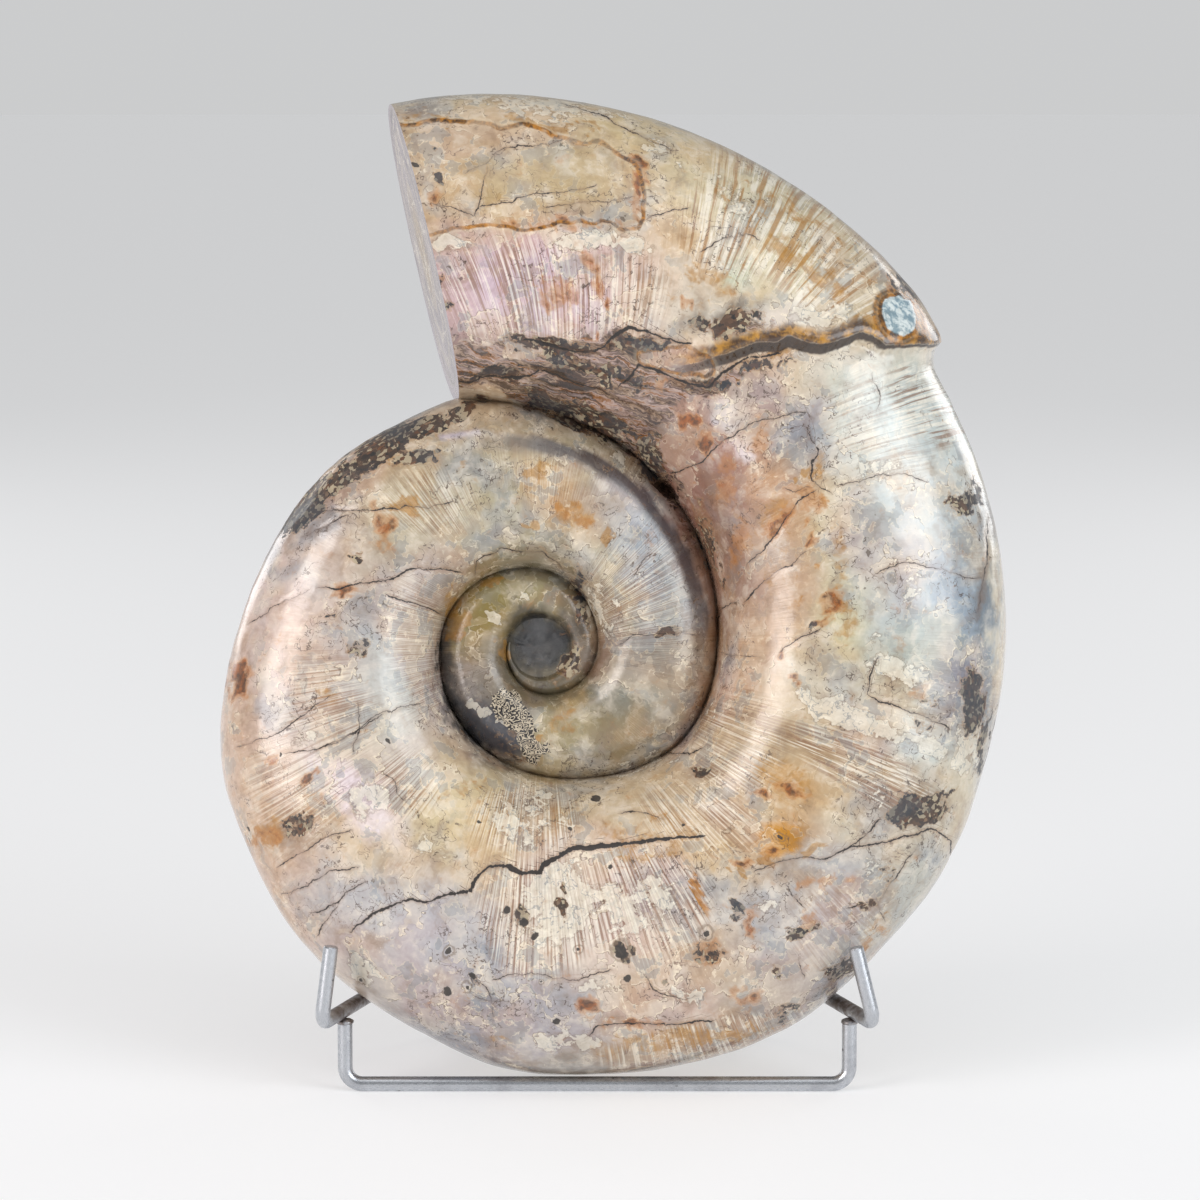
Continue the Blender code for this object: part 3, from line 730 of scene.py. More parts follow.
RUST = [
    (688, 420, 14, 9, 20, 1.0), (705, 441, 12, 10, 0, 0.9), (345, 591, 10, 8, 0, 0.8),
    (384, 521, 12, 14, 0, 0.75), (236, 676, 10, 20, 15, 0.85), (267, 757, 9, 4, 0, 0.7),
    (308, 773, 16, 4, -30, 0.7), (268, 833, 18, 11, -20, 0.6), (556, 290, 14, 16, -20, 0.5),
    (570, 290, 7, 24, -12, 0.6), (591, 275, 7, 24, -16, 0.65), (543, 292, 4, 18, -5, 0.7),
    (603, 304, 4, 4, 0, 1.0), (599, 327, 4, 4, 0, 0.9), (588, 1004, 12, 10, 0, 0.8),
    (752, 922, 7, 14, 30, 0.7), (697, 888, 5, 24, -22, 0.75), (810, 497, 14, 12, 0, 0.6),
    (777, 520, 20, 8, -50, 0.6), (830, 598, 10, 20, 10, 0.75), (828, 627, 10, 5, 0, 0.8),
    (812, 536, 5, 16, 0, 0.8), (807, 519, 5, 5, 0, 0.9), (778, 651, 4, 4, 0, 0.9),
    (796, 677, 5, 7, 0, 0.8), (768, 852, 12, 6, -25, 0.7), (760, 788, 10, 7, 0, 0.85),
    (791, 787, 20, 6, 36, 0.75), (742, 858, 20, 5, 10, 0.7), (820, 880, 40, 4, -10, 0.5),
    (640, 190, 6, 28, 0, 0.9), (632, 158, 12, 6, 40, 0.8), (560, 222, 80, 4, 0, 0.7),
    (897, 288, 26, 8, 35, 0.9), (918, 322, 8, 16, -20, 0.7),
    (600, 397, 50, 8, 20, 0.65), (560, 336, 20, 4, 0, 0.5),
    (665, 380, 20, 4, 10, 0.6), (749, 995, 20, 8, -20, 0.6), (640, 1023, 60, 4, 0, 0.65),
    (708, 947, 14, 12, 0, 0.5), (572, 514, 22, 8, 20, 0.45), (726, 480, 10, 24, 10, 0.5),
    (740, 545, 10, 40, 20, 0.4), (390, 545, 10, 8, 0, 0.5), (920, 690, 14, 8, 0, 0.4),
    (320, 800, 18, 6, -20, 0.55), (655, 560, 6, 20, -20, 0.3), (577, 948, 5, 4, 0, 0.8),
    (800, 920, 24, 5, -50, 0.45), (876, 930, 20, 5, -50, 0.4), (690, 300, 6, 4, 0, 0.8),
    (760, 440, 10, 16, 0, 0.4), (560, 470, 20, 8, 0, 0.35), (437, 196, 7, 5, 0, 0.5),
]
GOLD = [
    (770, 560, 50, 60, 0, 0.25), (620, 830, 80, 26, 0, 0.28), (470, 800, 50, 30, 0, 0.26),
    (540, 470, 12, 14, 0, 0.8), (572, 514, 24, 14, 10, 0.6), (531, 519, 6, 5, 0, 0.8),
    (605, 533, 7, 5, 0, 0.8), (810, 468, 7, 7, 0, 0.9), (797, 478, 6, 5, 0, 0.8),
    (489, 580, 10, 6, 0, 0.9), (465, 618, 6, 12, 0, 0.9), (501, 647, 6, 10, 0, 0.7),
    (735, 866, 10, 3, 0, 0.9), (268, 830, 20, 13, -20, 0.7),
    (430, 115, 40, 5, 0, 0.6), (560, 124, 60, 5, 12, 0.6), (840, 590, 14, 80, -4, 0.45),
    (470, 470, 20, 12, -20, 0.4), (412, 505, 20, 14, 0, 0.5), (800, 262, 60, 10, 38, 0.5),
    (790, 235, 110, 46, 42, 0.30), (690, 270, 50, 40, 20, 0.26),
    (860, 322, 40, 6, -14, 0.8), (800, 342, 50, 4, -10, 0.8), (495, 350, 10, 4, 0, 0.8),
    (760, 515, 30, 26, 0, 0.4), (560, 722, 24, 10, -30, 0.5), (780, 770, 40, 14, 30, 0.45),
    (640, 842, 50, 14, 0, 0.4), (820, 470, 10, 60, 0, 0.35), (500, 1040, 30, 6, 8, 0.35),
    (880, 925, 30, 12, -50, 0.4), (700, 280, 40, 16, 20, 0.4), (454, 610, 8, 30, 0, 0.6),
    (758, 862, 24, 3, -12, 1.0), (812, 850, 14, 4, -38, 0.9), (697, 889, 4, 24, -22, 1.0),
    (690, 1036, 100, 8, -6, 0.5), (392, 452, 20, 8, -20, 0.4), (330, 690, 10, 20, 0, 0.3),
]
WHITE = [
    (600, 240, 60, 8, 4, 0.9), (440, 243, 40, 7, 5, 0.6), (560, 900, 40, 44, 0, 0.9),
    (530, 815, 46, 30, 8, 0.55), (630, 900, 46, 40, 0, 0.6), (850, 715, 60, 14, 28, 0.95),
    (968, 740, 9, 40, 10, 0.9), (930, 745, 24, 9, 32, 0.8), (860, 640, 26, 12, 0, 0.45),
    (900, 668, 34, 16, 10, 0.6), (748, 268, 20, 14, 0, 0.4), (336, 474, 5, 16, 25, 0.7),
    (366, 453, 4, 12, 10, 0.7), (570, 1040, 40, 10, 4, 0.6), (690, 345, 24, 5, 0, 0.5),
    (820, 315, 34, 12, -10, 0.7), (600, 600, 16, 40, -14, 0.5), (524, 595, 6, 6, 0, 1.0),
    (491, 612, 12, 4, 40, 0.9), (474, 702, 14, 6, 20, 0.8), (498, 718, 8, 5, 0, 0.8),
    # The chalk patch at 368,803 is a painted highlight, a glossy reflection on the lower left flank.
    (500, 745, 10, 4, 0, 0.6), (640, 765, 40, 12, -20, 0.5), (368, 803, 34, 20, 40, 0.5),
    (300, 740, 24, 12, 0, 0.5), (360, 965, 20, 12, 40, 0.6), (880, 470, 40, 16, 0, 0.45),
    (910, 590, 30, 20, 0, 0.4), (760, 900, 20, 14, 0, 0.5), (806, 806, 10, 8, 0, 0.5),
    (700, 990, 40, 10, -10, 0.5), (600, 985, 50, 8, 0, 0.4), (875, 800, 14, 20, 20, 0.5),
    (545, 105, 120, 8, 5, 0.6), (660, 150, 30, 10, 30, 0.5), (730, 200, 40, 16, 36, 0.5),
    (480, 560, 14, 10, 0, 0.4), (606, 452, 30, 6, 15, 0.5), (880, 860, 30, 8, -20, 0.4),
    (270, 700, 20, 30, 10, 0.4), (420, 840, 40, 16, 10, 0.4), (720, 720, 20, 20, 0, 0.4),
]
LIRAE = [
    (530, 290, 110, 60, 0, 0.62), (620, 290, 60, 50, 0, 0.62), (540, 915, 60, 60, 0, 1.0),
    (640, 900, 70, 60, 0, 0.9), (530, 815, 60, 40, 0, 0.7), (930, 400, 50, 40, 40, 0.8),
    (880, 420, 80, 60, 20, 0.45), (800, 240, 110, 50, 42, 0.9), (740, 220, 60, 60, 30, 0.8),
    (860, 765, 90, 26, 27, 0.8), (640, 590, 60, 90, 0, 0.5), (560, 470, 110, 40, 5, 0.4),
    (560, 740, 90, 30, 0, 0.3), (420, 640, 40, 90, 0, 0.5), (300, 780, 60, 60, 0, 0.5),
    (700, 820, 70, 40, 20, 0.6), (720, 1035, 130, 20, -10, 0.8), (530, 620, 60, 70, 0, 0.25),
    (430, 500, 60, 40, 0, 0.5), (330, 720, 60, 80, 0, 0.5), (740, 740, 50, 60, 30, 0.6),
    (830, 930, 60, 50, -40, 0.4), (410, 780, 40, 40, 0, 0.6), (900, 300, 30, 30, 0, 0.3),
]
PLATES = [
    [(395, 123), (418, 122), (444, 118), (482, 121), (500, 126), (523, 121), (543, 127), (564, 135),
     (579, 140), (602, 141), (617, 150), (635, 162), (640, 172), (645, 192), (643, 213), (640, 225),
     (617, 227), (602, 218), (579, 218), (559, 220), (543, 225), (523, 228), (500, 224), (485, 222),
     (472, 223), (431, 233), (408, 236)],
    [(638, 350), (686, 343), (709, 355), (712, 373), (681, 373), (640, 363)],
    [(878, 652), (870, 674), (867, 692), (890, 702), (926, 715), (952, 728), (960, 690), (950, 650), (910, 640)],
    [(765, 822), (784, 818), (800, 828), (797, 846), (778, 858), (760, 852), (757, 836)],
    [(780, 420), (800, 424), (806, 440), (800, 456), (786, 460), (774, 448), (772, 430)],
    [(505, 343), (525, 341), (546, 345), (546, 355), (525, 357), (503, 355)],
    [(882, 296), (897, 292), (911, 299), (916, 315), (911, 331), (897, 337), (883, 330), (878, 313)],
]
STRATA = [
    (480, 366, 34, 16, -4, 0.9), (560, 362, 90, 22, 5, 1.0), (620, 392, 60, 26, 18, 1.0),
    (660, 356, 50, 20, 0, 0.8), (694, 386, 40, 10, -4, 0.9), (570, 408, 80, 13, 20, 1.0),
    (640, 440, 34, 16, 48, 1.0), (664, 480, 24, 10, 66, 0.8), (742, 372, 40, 9, -18, 0.7),
    (735, 325, 40, 9, -4, 0.6), (690, 530, 44, 7, 74, 0.45), (610, 345, 60, 14, -5, 0.9),
]
# Small round pits and rings: x, y, radius, ring's radius or 0.
SPOTS = [
    (451, 949, 3.4, 6.0), (622, 949, 7.0, 10.0), (627, 977, 4.5, 0), (558, 1018, 4.0, 0),
    (448, 990, 4.6, 0), (466, 985, 3.0, 6.0), (474, 974, 4.0, 0), (596, 796, 5.2, 0),
    (568, 824, 2.6, 0), (684, 824, 2.4, 0), (508, 789, 2.2, 0), (480, 818, 2.4, 0),
    (577, 948, 2.2, 5.0), (361, 978, 3.0, 6.0), (611, 863, 2.6, 0), (542, 982, 1.8, 3.6),
    (705, 930, 3.4, 8.0), (704, 957, 3.6, 0), (779, 835, 2.2, 4.4), (508, 908, 4.0, 0),
    (522, 919, 4.6, 0), (534, 933, 3.6, 0), (413, 162, 3.4, 0), (411, 197, 2.4, 0),
    (418, 223, 2.2, 0), (248, 826, 3.4, 0), (279, 754, 2.4, 0), (388, 740, 2.6, 0),
]
MAZE = [(489, 698), (505, 687), (522, 694), (524, 710), (539, 724), (550, 743), (553, 760), (529, 762),
        (520, 743), (508, 727), (491, 713)]

FLARE_EDGE = [
    (640, 366), (690, 362), (725, 352), (756, 340), (776, 340), (788, 334), (805, 340), (822, 343),
    (841, 337), (858, 331), (873, 336), (882, 344), (907, 343), (931, 342), (950, 336),
]


# --------------------------------------------------------- building the shell


def linear(colour):
    c = np.array(colour, float) / 255.0
    return np.where(c <= 0.04045, c / 12.92, ((c + 0.055) / 1.055) ** 2.4)


SLANT = [  # how far the growth lines lean off the radius, by the spiral's angle
    (-30, -6), (0, -6), (20, -12), (38, -14), (52, -4), (62, 2), (78, 12), (100, 14),
    (120, 6), (180, 0), (250, 0), (290, -3), (330, -6), (390, -6),
]
LEDGE = [
    (439, 436), (480, 430), (532, 431), (591, 446), (648, 486), (691, 546), (712, 609), (708, 658), (694, 700),
    (668, 734), (632, 758), (590, 770),
]


def add_floats(mesh, name, values):
    made = mesh.attributes.new(name, "FLOAT", "POINT")
    made.data.foreach_set("value", np.asarray(values, np.float32))


def add_vectors(mesh, name, values):
    made = mesh.attributes.new(name, "FLOAT_VECTOR", "POINT")
    made.data.foreach_set("vector", np.asarray(values, np.float32).ravel())


def mask_of(uv, rows):
    made = np.zeros(len(uv))
    for x, y, rx, ry, angle, strength in rows:
        near = (np.abs(uv[:, 0] - x) < 1.7 * max(rx, ry)) & (np.abs(uv[:, 1] - y) < 1.7 * max(rx, ry))
        i = np.flatnonzero(near)
        if len(i):
            made[i] = np.maximum(made[i], strength * blob(uv[i], x, y, rx, ry, angle))
    return made


def painted(points):
    paint = np.tile(linear((200, 184, 164)), (len(points), 1))
    for x, y, rx, ry, angle, colour, strength in PAINT + PEARL_AND_PAINTED_LIGHT:
        w = (strength * blob(points, x, y, rx, ry, angle))[:, None]
        paint = paint * (1 - w) + linear(colour) * w
    return paint


def build_shell():
    net, outline = build_shell_net()
    local = np.concatenate(net.co)
    turn, share = np.concatenate(net.turn), np.concatenate(net.share)
    world = to_world(local)
    count = len(local)

    # The flat of the saw cut, divided in its own plane.
    across = np.cross(CUT_NORMAL, (0.0, 0.0, 1.0))
    across /= np.linalg.norm(across)
    along = np.cross(CUT_NORMAL, across)
    flat = local[outline] * np.array((1.0, -1.0, 1.0))
    flat = flat[:, [0, 2, 1]]
    drawn = [Vector((float(p @ across), float(p @ along), 0.0)) for p in flat]
    cap = [[outline[i] for i in tri] for tri in geometry.tessellate_polygon([drawn])]

    mesh = bpy.data.meshes.new("fossil_shell")
    mesh.from_pydata(world.tolist(), [], net.faces + cap)
    bm = bmesh.new()
    bm.from_mesh(mesh)
    bmesh.ops.recalc_face_normals(bm, faces=bm.faces[:])
    bm.to_mesh(mesh)
    bm.free()
    index = np.zeros(len(mesh.polygons), np.int32)
    index[len(net.faces):] = 1
    mesh.polygons.foreach_set("material_index", index)
    mesh.update()
    normals = np.empty(count * 3, np.float32)
    mesh.vertices.foreach_get("normal", normals)
    normals = normals.reshape(-1, 3).astype(float)

    # Where each point lies in the drawing; the far side takes the near side's place.
    far = local[:, 1] > 0
    mirrored = local * np.where(far[:, None], np.array((1.0, -1.0, 1.0)), 1.0)
    uv = drawing_place(to_world(mirrored)) + NUDGE
    sway = np.stack([soft_noise(local, 0.07, 5, 2), soft_noise(local, 0.07, 9, 2)], 1)
    uv = uv + sway * 22.0 * smooth(0.0, 0.03, local[:, 1])[:, None]
    c, s = math.cos(LEAN), math.sin(LEAN)
    n_local = np.stack(
        [normals[:, 0], c * normals[:, 1] - s * normals[:, 2], s * normals[:, 1] + c * normals[:, 2]], 1
    )
    n_local[:, 1] = np.where(far, -n_local[:, 1], n_local[:, 1])
    both = smooth(-0.10, 0.14, -n_local[:, 1])
    seen = both * np.where(far, smooth(0.12, 0.45, -n_local[:, 1]), 1.0)

    # The far side's stains and cracks are turned about the coil's middle, so that the sides differ.
    a, middle = math.radians(150.0), np.array((538.0, 641.0))
    other = (uv - middle) @ np.array(((math.cos(a), math.sin(a)), (-math.sin(a), math.cos(a)))) + middle
    marks = np.where(far[:, None], other, uv)

    # Uneven patch borders.
    rough = np.stack([soft_noise(local, 0.012, 1), soft_noise(local, 0.012, 2)], 1)
    rough += 0.6 * np.stack([soft_noise(local, 0.0045, 3, 2), soft_noise(local, 0.0045, 4, 2)], 1)
    uneven = marks + 9.0 * rough

    paint, elsewhere = (painted(points + 9.0 * rough) for points in (uv, other))
    w = smooth(0.0, 0.030, local[:, 1])[:, None]
    paint = paint * (1 - w) + elsewhere * w

    # Painted shade: a dark band on the turn inside, between the ledge and the seam, where that turn slopes down into
    # shade. Then a pale rim along the seam's edge of the last turn.
    dist, sign, where, past = line_field(uv, LEDGE)
    inner = np.where(past, 0, 1) * smooth(0.02, 0.20, where) * (1 - 0.85 * smooth(0.50, 0.95, where))
    seam_shade = inner * smooth(1.5, 4.0, dist) * (1 - smooth(13.0, 24.0, dist)) * (sign > 0)
    w = (0.85 * seam_shade * (turn < EXPOSED_FROM + 1))[:, None]
    paint = paint * (1 - w) + linear((72, 66, 72)) * w
    w = (0.75 * np.exp(-((dist / 3.2) ** 2)) * np.where(past, 0, 1) * (turn > EXPOSED_FROM))[:, None]
    paint = paint * (1 - w) + linear((190, 182, 196)) * w

    dark = mask_of(uneven, DARK) * seen
    rust = mask_of(uneven, RUST) * seen
    gold = mask_of(uneven, GOLD) * seen
    white = mask_of(uneven, WHITE) * seen
    lirae = np.maximum(mask_of(uv, LIRAE), 0.25)
    maze = smooth(-2.0, 2.0, area_field(uneven, MAZE)) * seen
    strata = mask_of(uv + 9.0 * rough, STRATA) * both

    # Cracks share a few fields; those that come close to each other use different ones.
    channels = []
    relief = np.zeros(count)
    for number, (width, points) in enumerate(CRACKS):
        line = wiggle(points, number, 0.45 if number < 5 else 1.0)
        box = np.array(line)
        lo, hi = box.min(0) - 16, box.max(0) + 16
        i = np.flatnonzero(((marks > lo) & (marks < hi)).all(1) & (seen > 0.02))
        if not len(i):
            continue
        dist, sign, far_along, past = line_field(marks[i], line)
        near = i[dist < 7.5]
        for channel in channels:
            if not channel["taken"][near].any():
                break
        else:
            channel = {
                "taken": np.zeros(count, bool),
                "distance": np.full(count, 40.0),
                "width": np.zeros(count),
            }
            channels.append(channel)
        length = np.hypot(*np.diff(box, axis=0).T).sum()
        taper = np.clip(np.minimum(far_along, 1 - far_along) * length / 8.0 + 0.45, 0, 1)
        if number < 5:
            taper = np.ones_like(taper)
        w = np.where(past & (dist > 2.0), 0.0, width * taper)
        keep = dist < 7.5
        channel["taken"][i[keep]] = True
        channel["distance"][i[keep]] = (dist * sign)[keep]
        channel["width"][i[keep]] = np.where(dist < 7, w, 0.0)[keep] * seen[i[keep]]
        depth = min(0.9, 0.05 + 0.2 * width) * MM
        if number < 5:
            channel["width"][i[keep]] *= 1.25
        relief[i] -= depth * np.exp(-((dist / (1.6 + width * 0.5)) ** 2)) * np.where(past, 0.3, 1.0)
    while len(channels) % 3:
        channels.append({"distance": np.full(count, 40.0), "width": np.zeros(count)})

    # Plates of shell layer with sharp borders.
    plate = np.full(count, -30.0)
    for number, points in enumerate(PLATES):
        field = area_field(marks + 1.6 * rough, wiggle(points + points[:1], 40 + number)[:-1])
        if number in (1, 5):
            strata = strata * (1 - 0.9 * smooth(-2.5, 1.0, field))
        if number == 3:
            w = (0.8 * smooth(-2.0, 1.5, field) * seen)[:, None]
            paint = paint * (1 - w) + linear((202, 148, 52)) * w
        if number in (0, 1, 6):
            plate = np.maximum(plate, field)
        sunk = (0.55, 0.2, 0.15, 0.3, 0.1, -0.2, -0.7)[number]
        relief -= sunk * MM * smooth(-2.5, 3.0, field)
    plate = np.clip(plate, -30, 30) * np.where(seen > 0.02, 1, 0) - np.where(seen > 0.02, 0, 30)

    # The flared rib, undercut below its edge.
    dist, sign, where, past = line_field(uv, FLARE_EDGE)
    strength = smooth(0.0, 0.30, where)
    above = np.where(sign < 0, dist, 0.0)
    below = np.where(sign > 0, dist, 0.0)
    drop = 6.2 * (1 - 0.55 * smooth(0.62, 0.95, where))
    rib = np.where(sign < 0, 3.2 * np.exp(-((above / 22.0) ** 2)), 3.2 - drop * smooth(0, 8, below))
    rib = np.where(sign > 0, rib * np.exp(-((below / 17.0) ** 2)), rib)
    strength = strength * np.where(past & (dist > 4), 0.0, 1.0)
    relief += rib * strength * MM
    lip = np.clip(-sign * dist, -30, 30)
    grainy = local * np.array((1.0, 0.8, 6.5)) + local[:, :1] * np.array((0.0, 0.0, 1.6))
    flow = soft_noise(grainy, 0.024, 15, 3)
    relief += strata * 1.1 * np.clip(flow * 2.2, -1, 1) * MM

    # A low ledge on the turn inside, and the rugae of growth.
    dist, _, where, past = line_field(uv, LEDGE)
    relief += 0.35 * MM * np.exp(-((dist / 4.0) ** 2)) * np.where(past, 0, 1) * (1 - smooth(0.50, 0.80, where))
    radius = np.hypot(local[:, 0], local[:, 2])
    angle = np.degrees(np.arctan2(local[:, 2], local[:, 0]))
    lean = np.tan(np.radians(curve(SLANT, np.where(angle < -30, angle + 360, angle))))
    off = np.degrees(lean * np.log(np.maximum(radius, 5 * MM) / 0.13)) * smooth(0.05, 0.2, radius)
    growth = np.radians(angle - off)
    waves = np.sin(np.radians(turn - off) * 360 / 5.2 + 2.6 * soft_noise(local, 0.04, 11, 2))
    waves += 0.6 * np.sin(np.radians(turn - off) * 360 / 11.3)
    body = smooth(0.0, 0.12, share) * np.where(turn > 105, 1.0, 1 - smooth(0.9, 1.0, share))
    relief += 0.055 * MM * waves * body * (0.4 + 0.6 * lirae) * np.where(turn > 105, 1.0, 0.5)

    relief += 0.22 * MM * soft_noise(local, 0.022, 12) * body
    relief -= dark * (0.35 + 0.3 * soft_noise(local, 0.004, 13, 2)) * MM
    relief += 0.10 * MM * smooth(0.4, 0.6, white)
    for x, y, r, _ in SPOTS:
        dist = np.hypot(*(marks - (x, y)).T)
        relief -= 0.5 * MM * np.exp(-((dist / r) ** 2)) * seen * min(1.0, r / 4.0)

    hold = smooth(0.0, 1.5, LAST_TURN - turn) * np.where(
        share > 0.999, smooth(0.0, 7.0, turn - EXPOSED_FROM), smooth(0.0, 0.03, share)
    )
    hold = np.where(turn < EXPOSED_FROM, np.minimum(smooth(0.0, 0.04, share), smooth(0, 0.04, 1 - share)), hold)
    moved = world + normals * (relief * hold)[:, None]
    lo, hi = (np.array(v) for v in CAD_BOX)
    moved = np.clip(moved, lo + 1e-6, hi - 1e-6)
    mesh.vertices.foreach_set("co", moved.astype(np.float32).ravel())

    colour = mesh.attributes.new("paint", "FLOAT_COLOR", "POINT")
    colour.data.foreach_set("color", np.column_stack([paint, np.ones(count)]).astype(np.float32).ravel())
    add_vectors(mesh, "stains", np.stack([dark, rust, gold], 1))
    add_vectors(mesh, "layers", np.stack([white, lirae, maze], 1))
    add_vectors(mesh, "borders", np.stack([plate, lip, strength], 1))
    add_floats(mesh, "strata", strata)
    spread = 126.0
    add_vectors(
        mesh, "growth",
        np.stack([spread * np.cos(growth), spread * np.sin(growth), radius / 0.052], 1),
    )
    for k in range(0, len(channels), 3):
        trio = channels[k : k + 3]
        add_vectors(mesh, f"crack_distance_{k // 3}", np.stack([c["distance"] for c in trio], 1))
        add_vectors(mesh, f"crack_width_{k // 3}", np.stack([c["width"] for c in trio], 1))

    mesh.shade_smooth()
    mesh.set_sharp_from_angle(angle=math.radians(60.0))
    shell = bpy.data.objects.new("fossil_shell", mesh)
    bpy.context.scene.collection.objects.link(shell)

    # Where each pit and ring is on the surface.
    front = np.flatnonzero((local[:, 1] < 0) & (seen > 0.5))
    pits = []
    for x, y, r, ring in SPOTS:
        k = front[np.argmin(np.hypot(*(uv[front] - (x, y)).T))]
        step = (np.array((x, y)) - uv[k]) * 0.4 * MM
        n = normals[k]
        move = np.array(UPWARD) * -step[1] + np.array((1.0, 0, 0)) * step[0]
        move = move + np.array(FORWARD) * -(move @ n) / min(-0.2, n @ np.array(FORWARD))
        pits.append((moved[k] + move, r * 0.4 * MM, ring * 0.4 * MM))
    return shell, len(channels) // 3, pits


# ------------------------------------------------------------------ materials


class Nodes:
    """Short names for shader nodes; a value may be a number, a colour or a socket."""

    def __init__(self, name):
        self.material = bpy.data.materials.new(name)
        self.material.use_nodes = True
        self.tree = self.material.node_tree
        self.shader = self.tree.nodes["Principled BSDF"]

    def put(self, socket, value):
        if isinstance(value, bpy.types.NodeSocket):
            self.tree.links.new(value, socket)
        elif value is not None:
            if hasattr(socket.default_value, "__len__") and not hasattr(value, "__len__"):
                value = (value,) * len(socket.default_value)
            if hasattr(value, "__len__") and len(value) == 3 and len(socket.default_value) == 4:
                value = (*value, 1.0)
            socket.default_value = value

    def math(self, op, a, b=None, c=None, clamp=False):
        n = self.tree.nodes.new("ShaderNodeMath")
        n.operation, n.use_clamp = op, clamp
        for socket, value in zip(n.inputs, (a, b, c)):
            self.put(socket, value)
        return n.outputs[0]

    def add(self, a, b, clamp=False):
        return self.math("ADD", a, b, clamp=clamp)

    def mul(self, a, b, clamp=False):
        return self.math("MULTIPLY", a, b, clamp=clamp)

    def madd(self, a, b, c, clamp=False):
        return self.math("MULTIPLY_ADD", a, b, c, clamp=clamp)

    def top(self, *values):
        made = values[0]
        for v in values[1:]:
            made = self.math("MAXIMUM", made, v)
        return made

    def vector(self, op, a, b=None, scale=None):
        n = self.tree.nodes.new("ShaderNodeVectorMath")
        n.operation = op
        self.put(n.inputs[0], a)
        if b is not None:
            self.put(n.inputs[1], b)
        if scale is not None:
            self.put(n.inputs["Scale"], scale)
        return n.outputs["Value"] if op in ("DISTANCE", "LENGTH", "DOT_PRODUCT") else n.outputs[0]

    def split(self, vector):
        n = self.tree.nodes.new("ShaderNodeSeparateXYZ")
        self.put(n.inputs[0], vector)
        return n.outputs[0], n.outputs[1], n.outputs[2]

    def named(self, name, out="Vector"):
        n = self.tree.nodes.new("ShaderNodeAttribute")
        n.attribute_name = name
        return n.outputs[out]

    def place(self):
        return self.tree.nodes.new("ShaderNodeTexCoord").outputs["Object"]

    def noise(self, vector, scale, detail=3.0, rough=0.55, distort=0.0, out=0):
        n = self.tree.nodes.new("ShaderNodeTexNoise")
        self.put(n.inputs["Vector"], vector)
        n.inputs["Scale"].default_value = scale
        n.inputs["Detail"].default_value = detail
        n.inputs["Roughness"].default_value = rough
        n.inputs["Distortion"].default_value = distort
        return n.outputs[out]

    def cells(self, vector, scale, feature="F1", out="Distance"):
        n = self.tree.nodes.new("ShaderNodeTexVoronoi")
        n.feature = feature
        self.put(n.inputs["Vector"], vector)
        n.inputs["Scale"].default_value = scale
        return n.outputs[out]

    def ramp(self, x, low, high, smooth_=True):
        n = self.tree.nodes.new("ShaderNodeMapRange")
        n.interpolation_type = "SMOOTHSTEP" if smooth_ else "LINEAR"
        self.put(n.inputs[0], x)
        self.put(n.inputs[1], low)
        self.put(n.inputs[2], high)
        return n.outputs[0]

    def mix(self, share, a, b, blend="MIX"):
        n = self.tree.nodes.new("ShaderNodeMix")
        n.data_type, n.blend_type, n.clamp_factor = "RGBA", blend, True
        self.put(n.inputs[0], share)
        self.put(n.inputs[6], a)
        self.put(n.inputs[7], b)
        return n.outputs[2]

    def stops(self, x, points):
        n = self.tree.nodes.new("ShaderNodeValToRGB")
        self.put(n.inputs[0], x)
        band = n.color_ramp
        while len(band.elements) < len(points):
            band.elements.new(0.5)
        for element, (at, colour) in zip(band.elements, points):
            element.position = at
        for element, (at, colour) in zip(band.elements, points):
            element.color = (*colour, 1.0)
        return n.outputs[0]

    def bump(self, height, distance, strength=1.0, normal=None):
        n = self.tree.nodes.new("ShaderNodeBump")
        n.inputs["Strength"].default_value = strength
        n.inputs["Distance"].default_value = distance
        self.put(n.inputs["Height"], height)
        if normal is not None:
            self.put(n.inputs["Normal"], normal)
        return n.outputs[0]


def rgb(*colour):
    return tuple(float(v) for v in linear(colour))


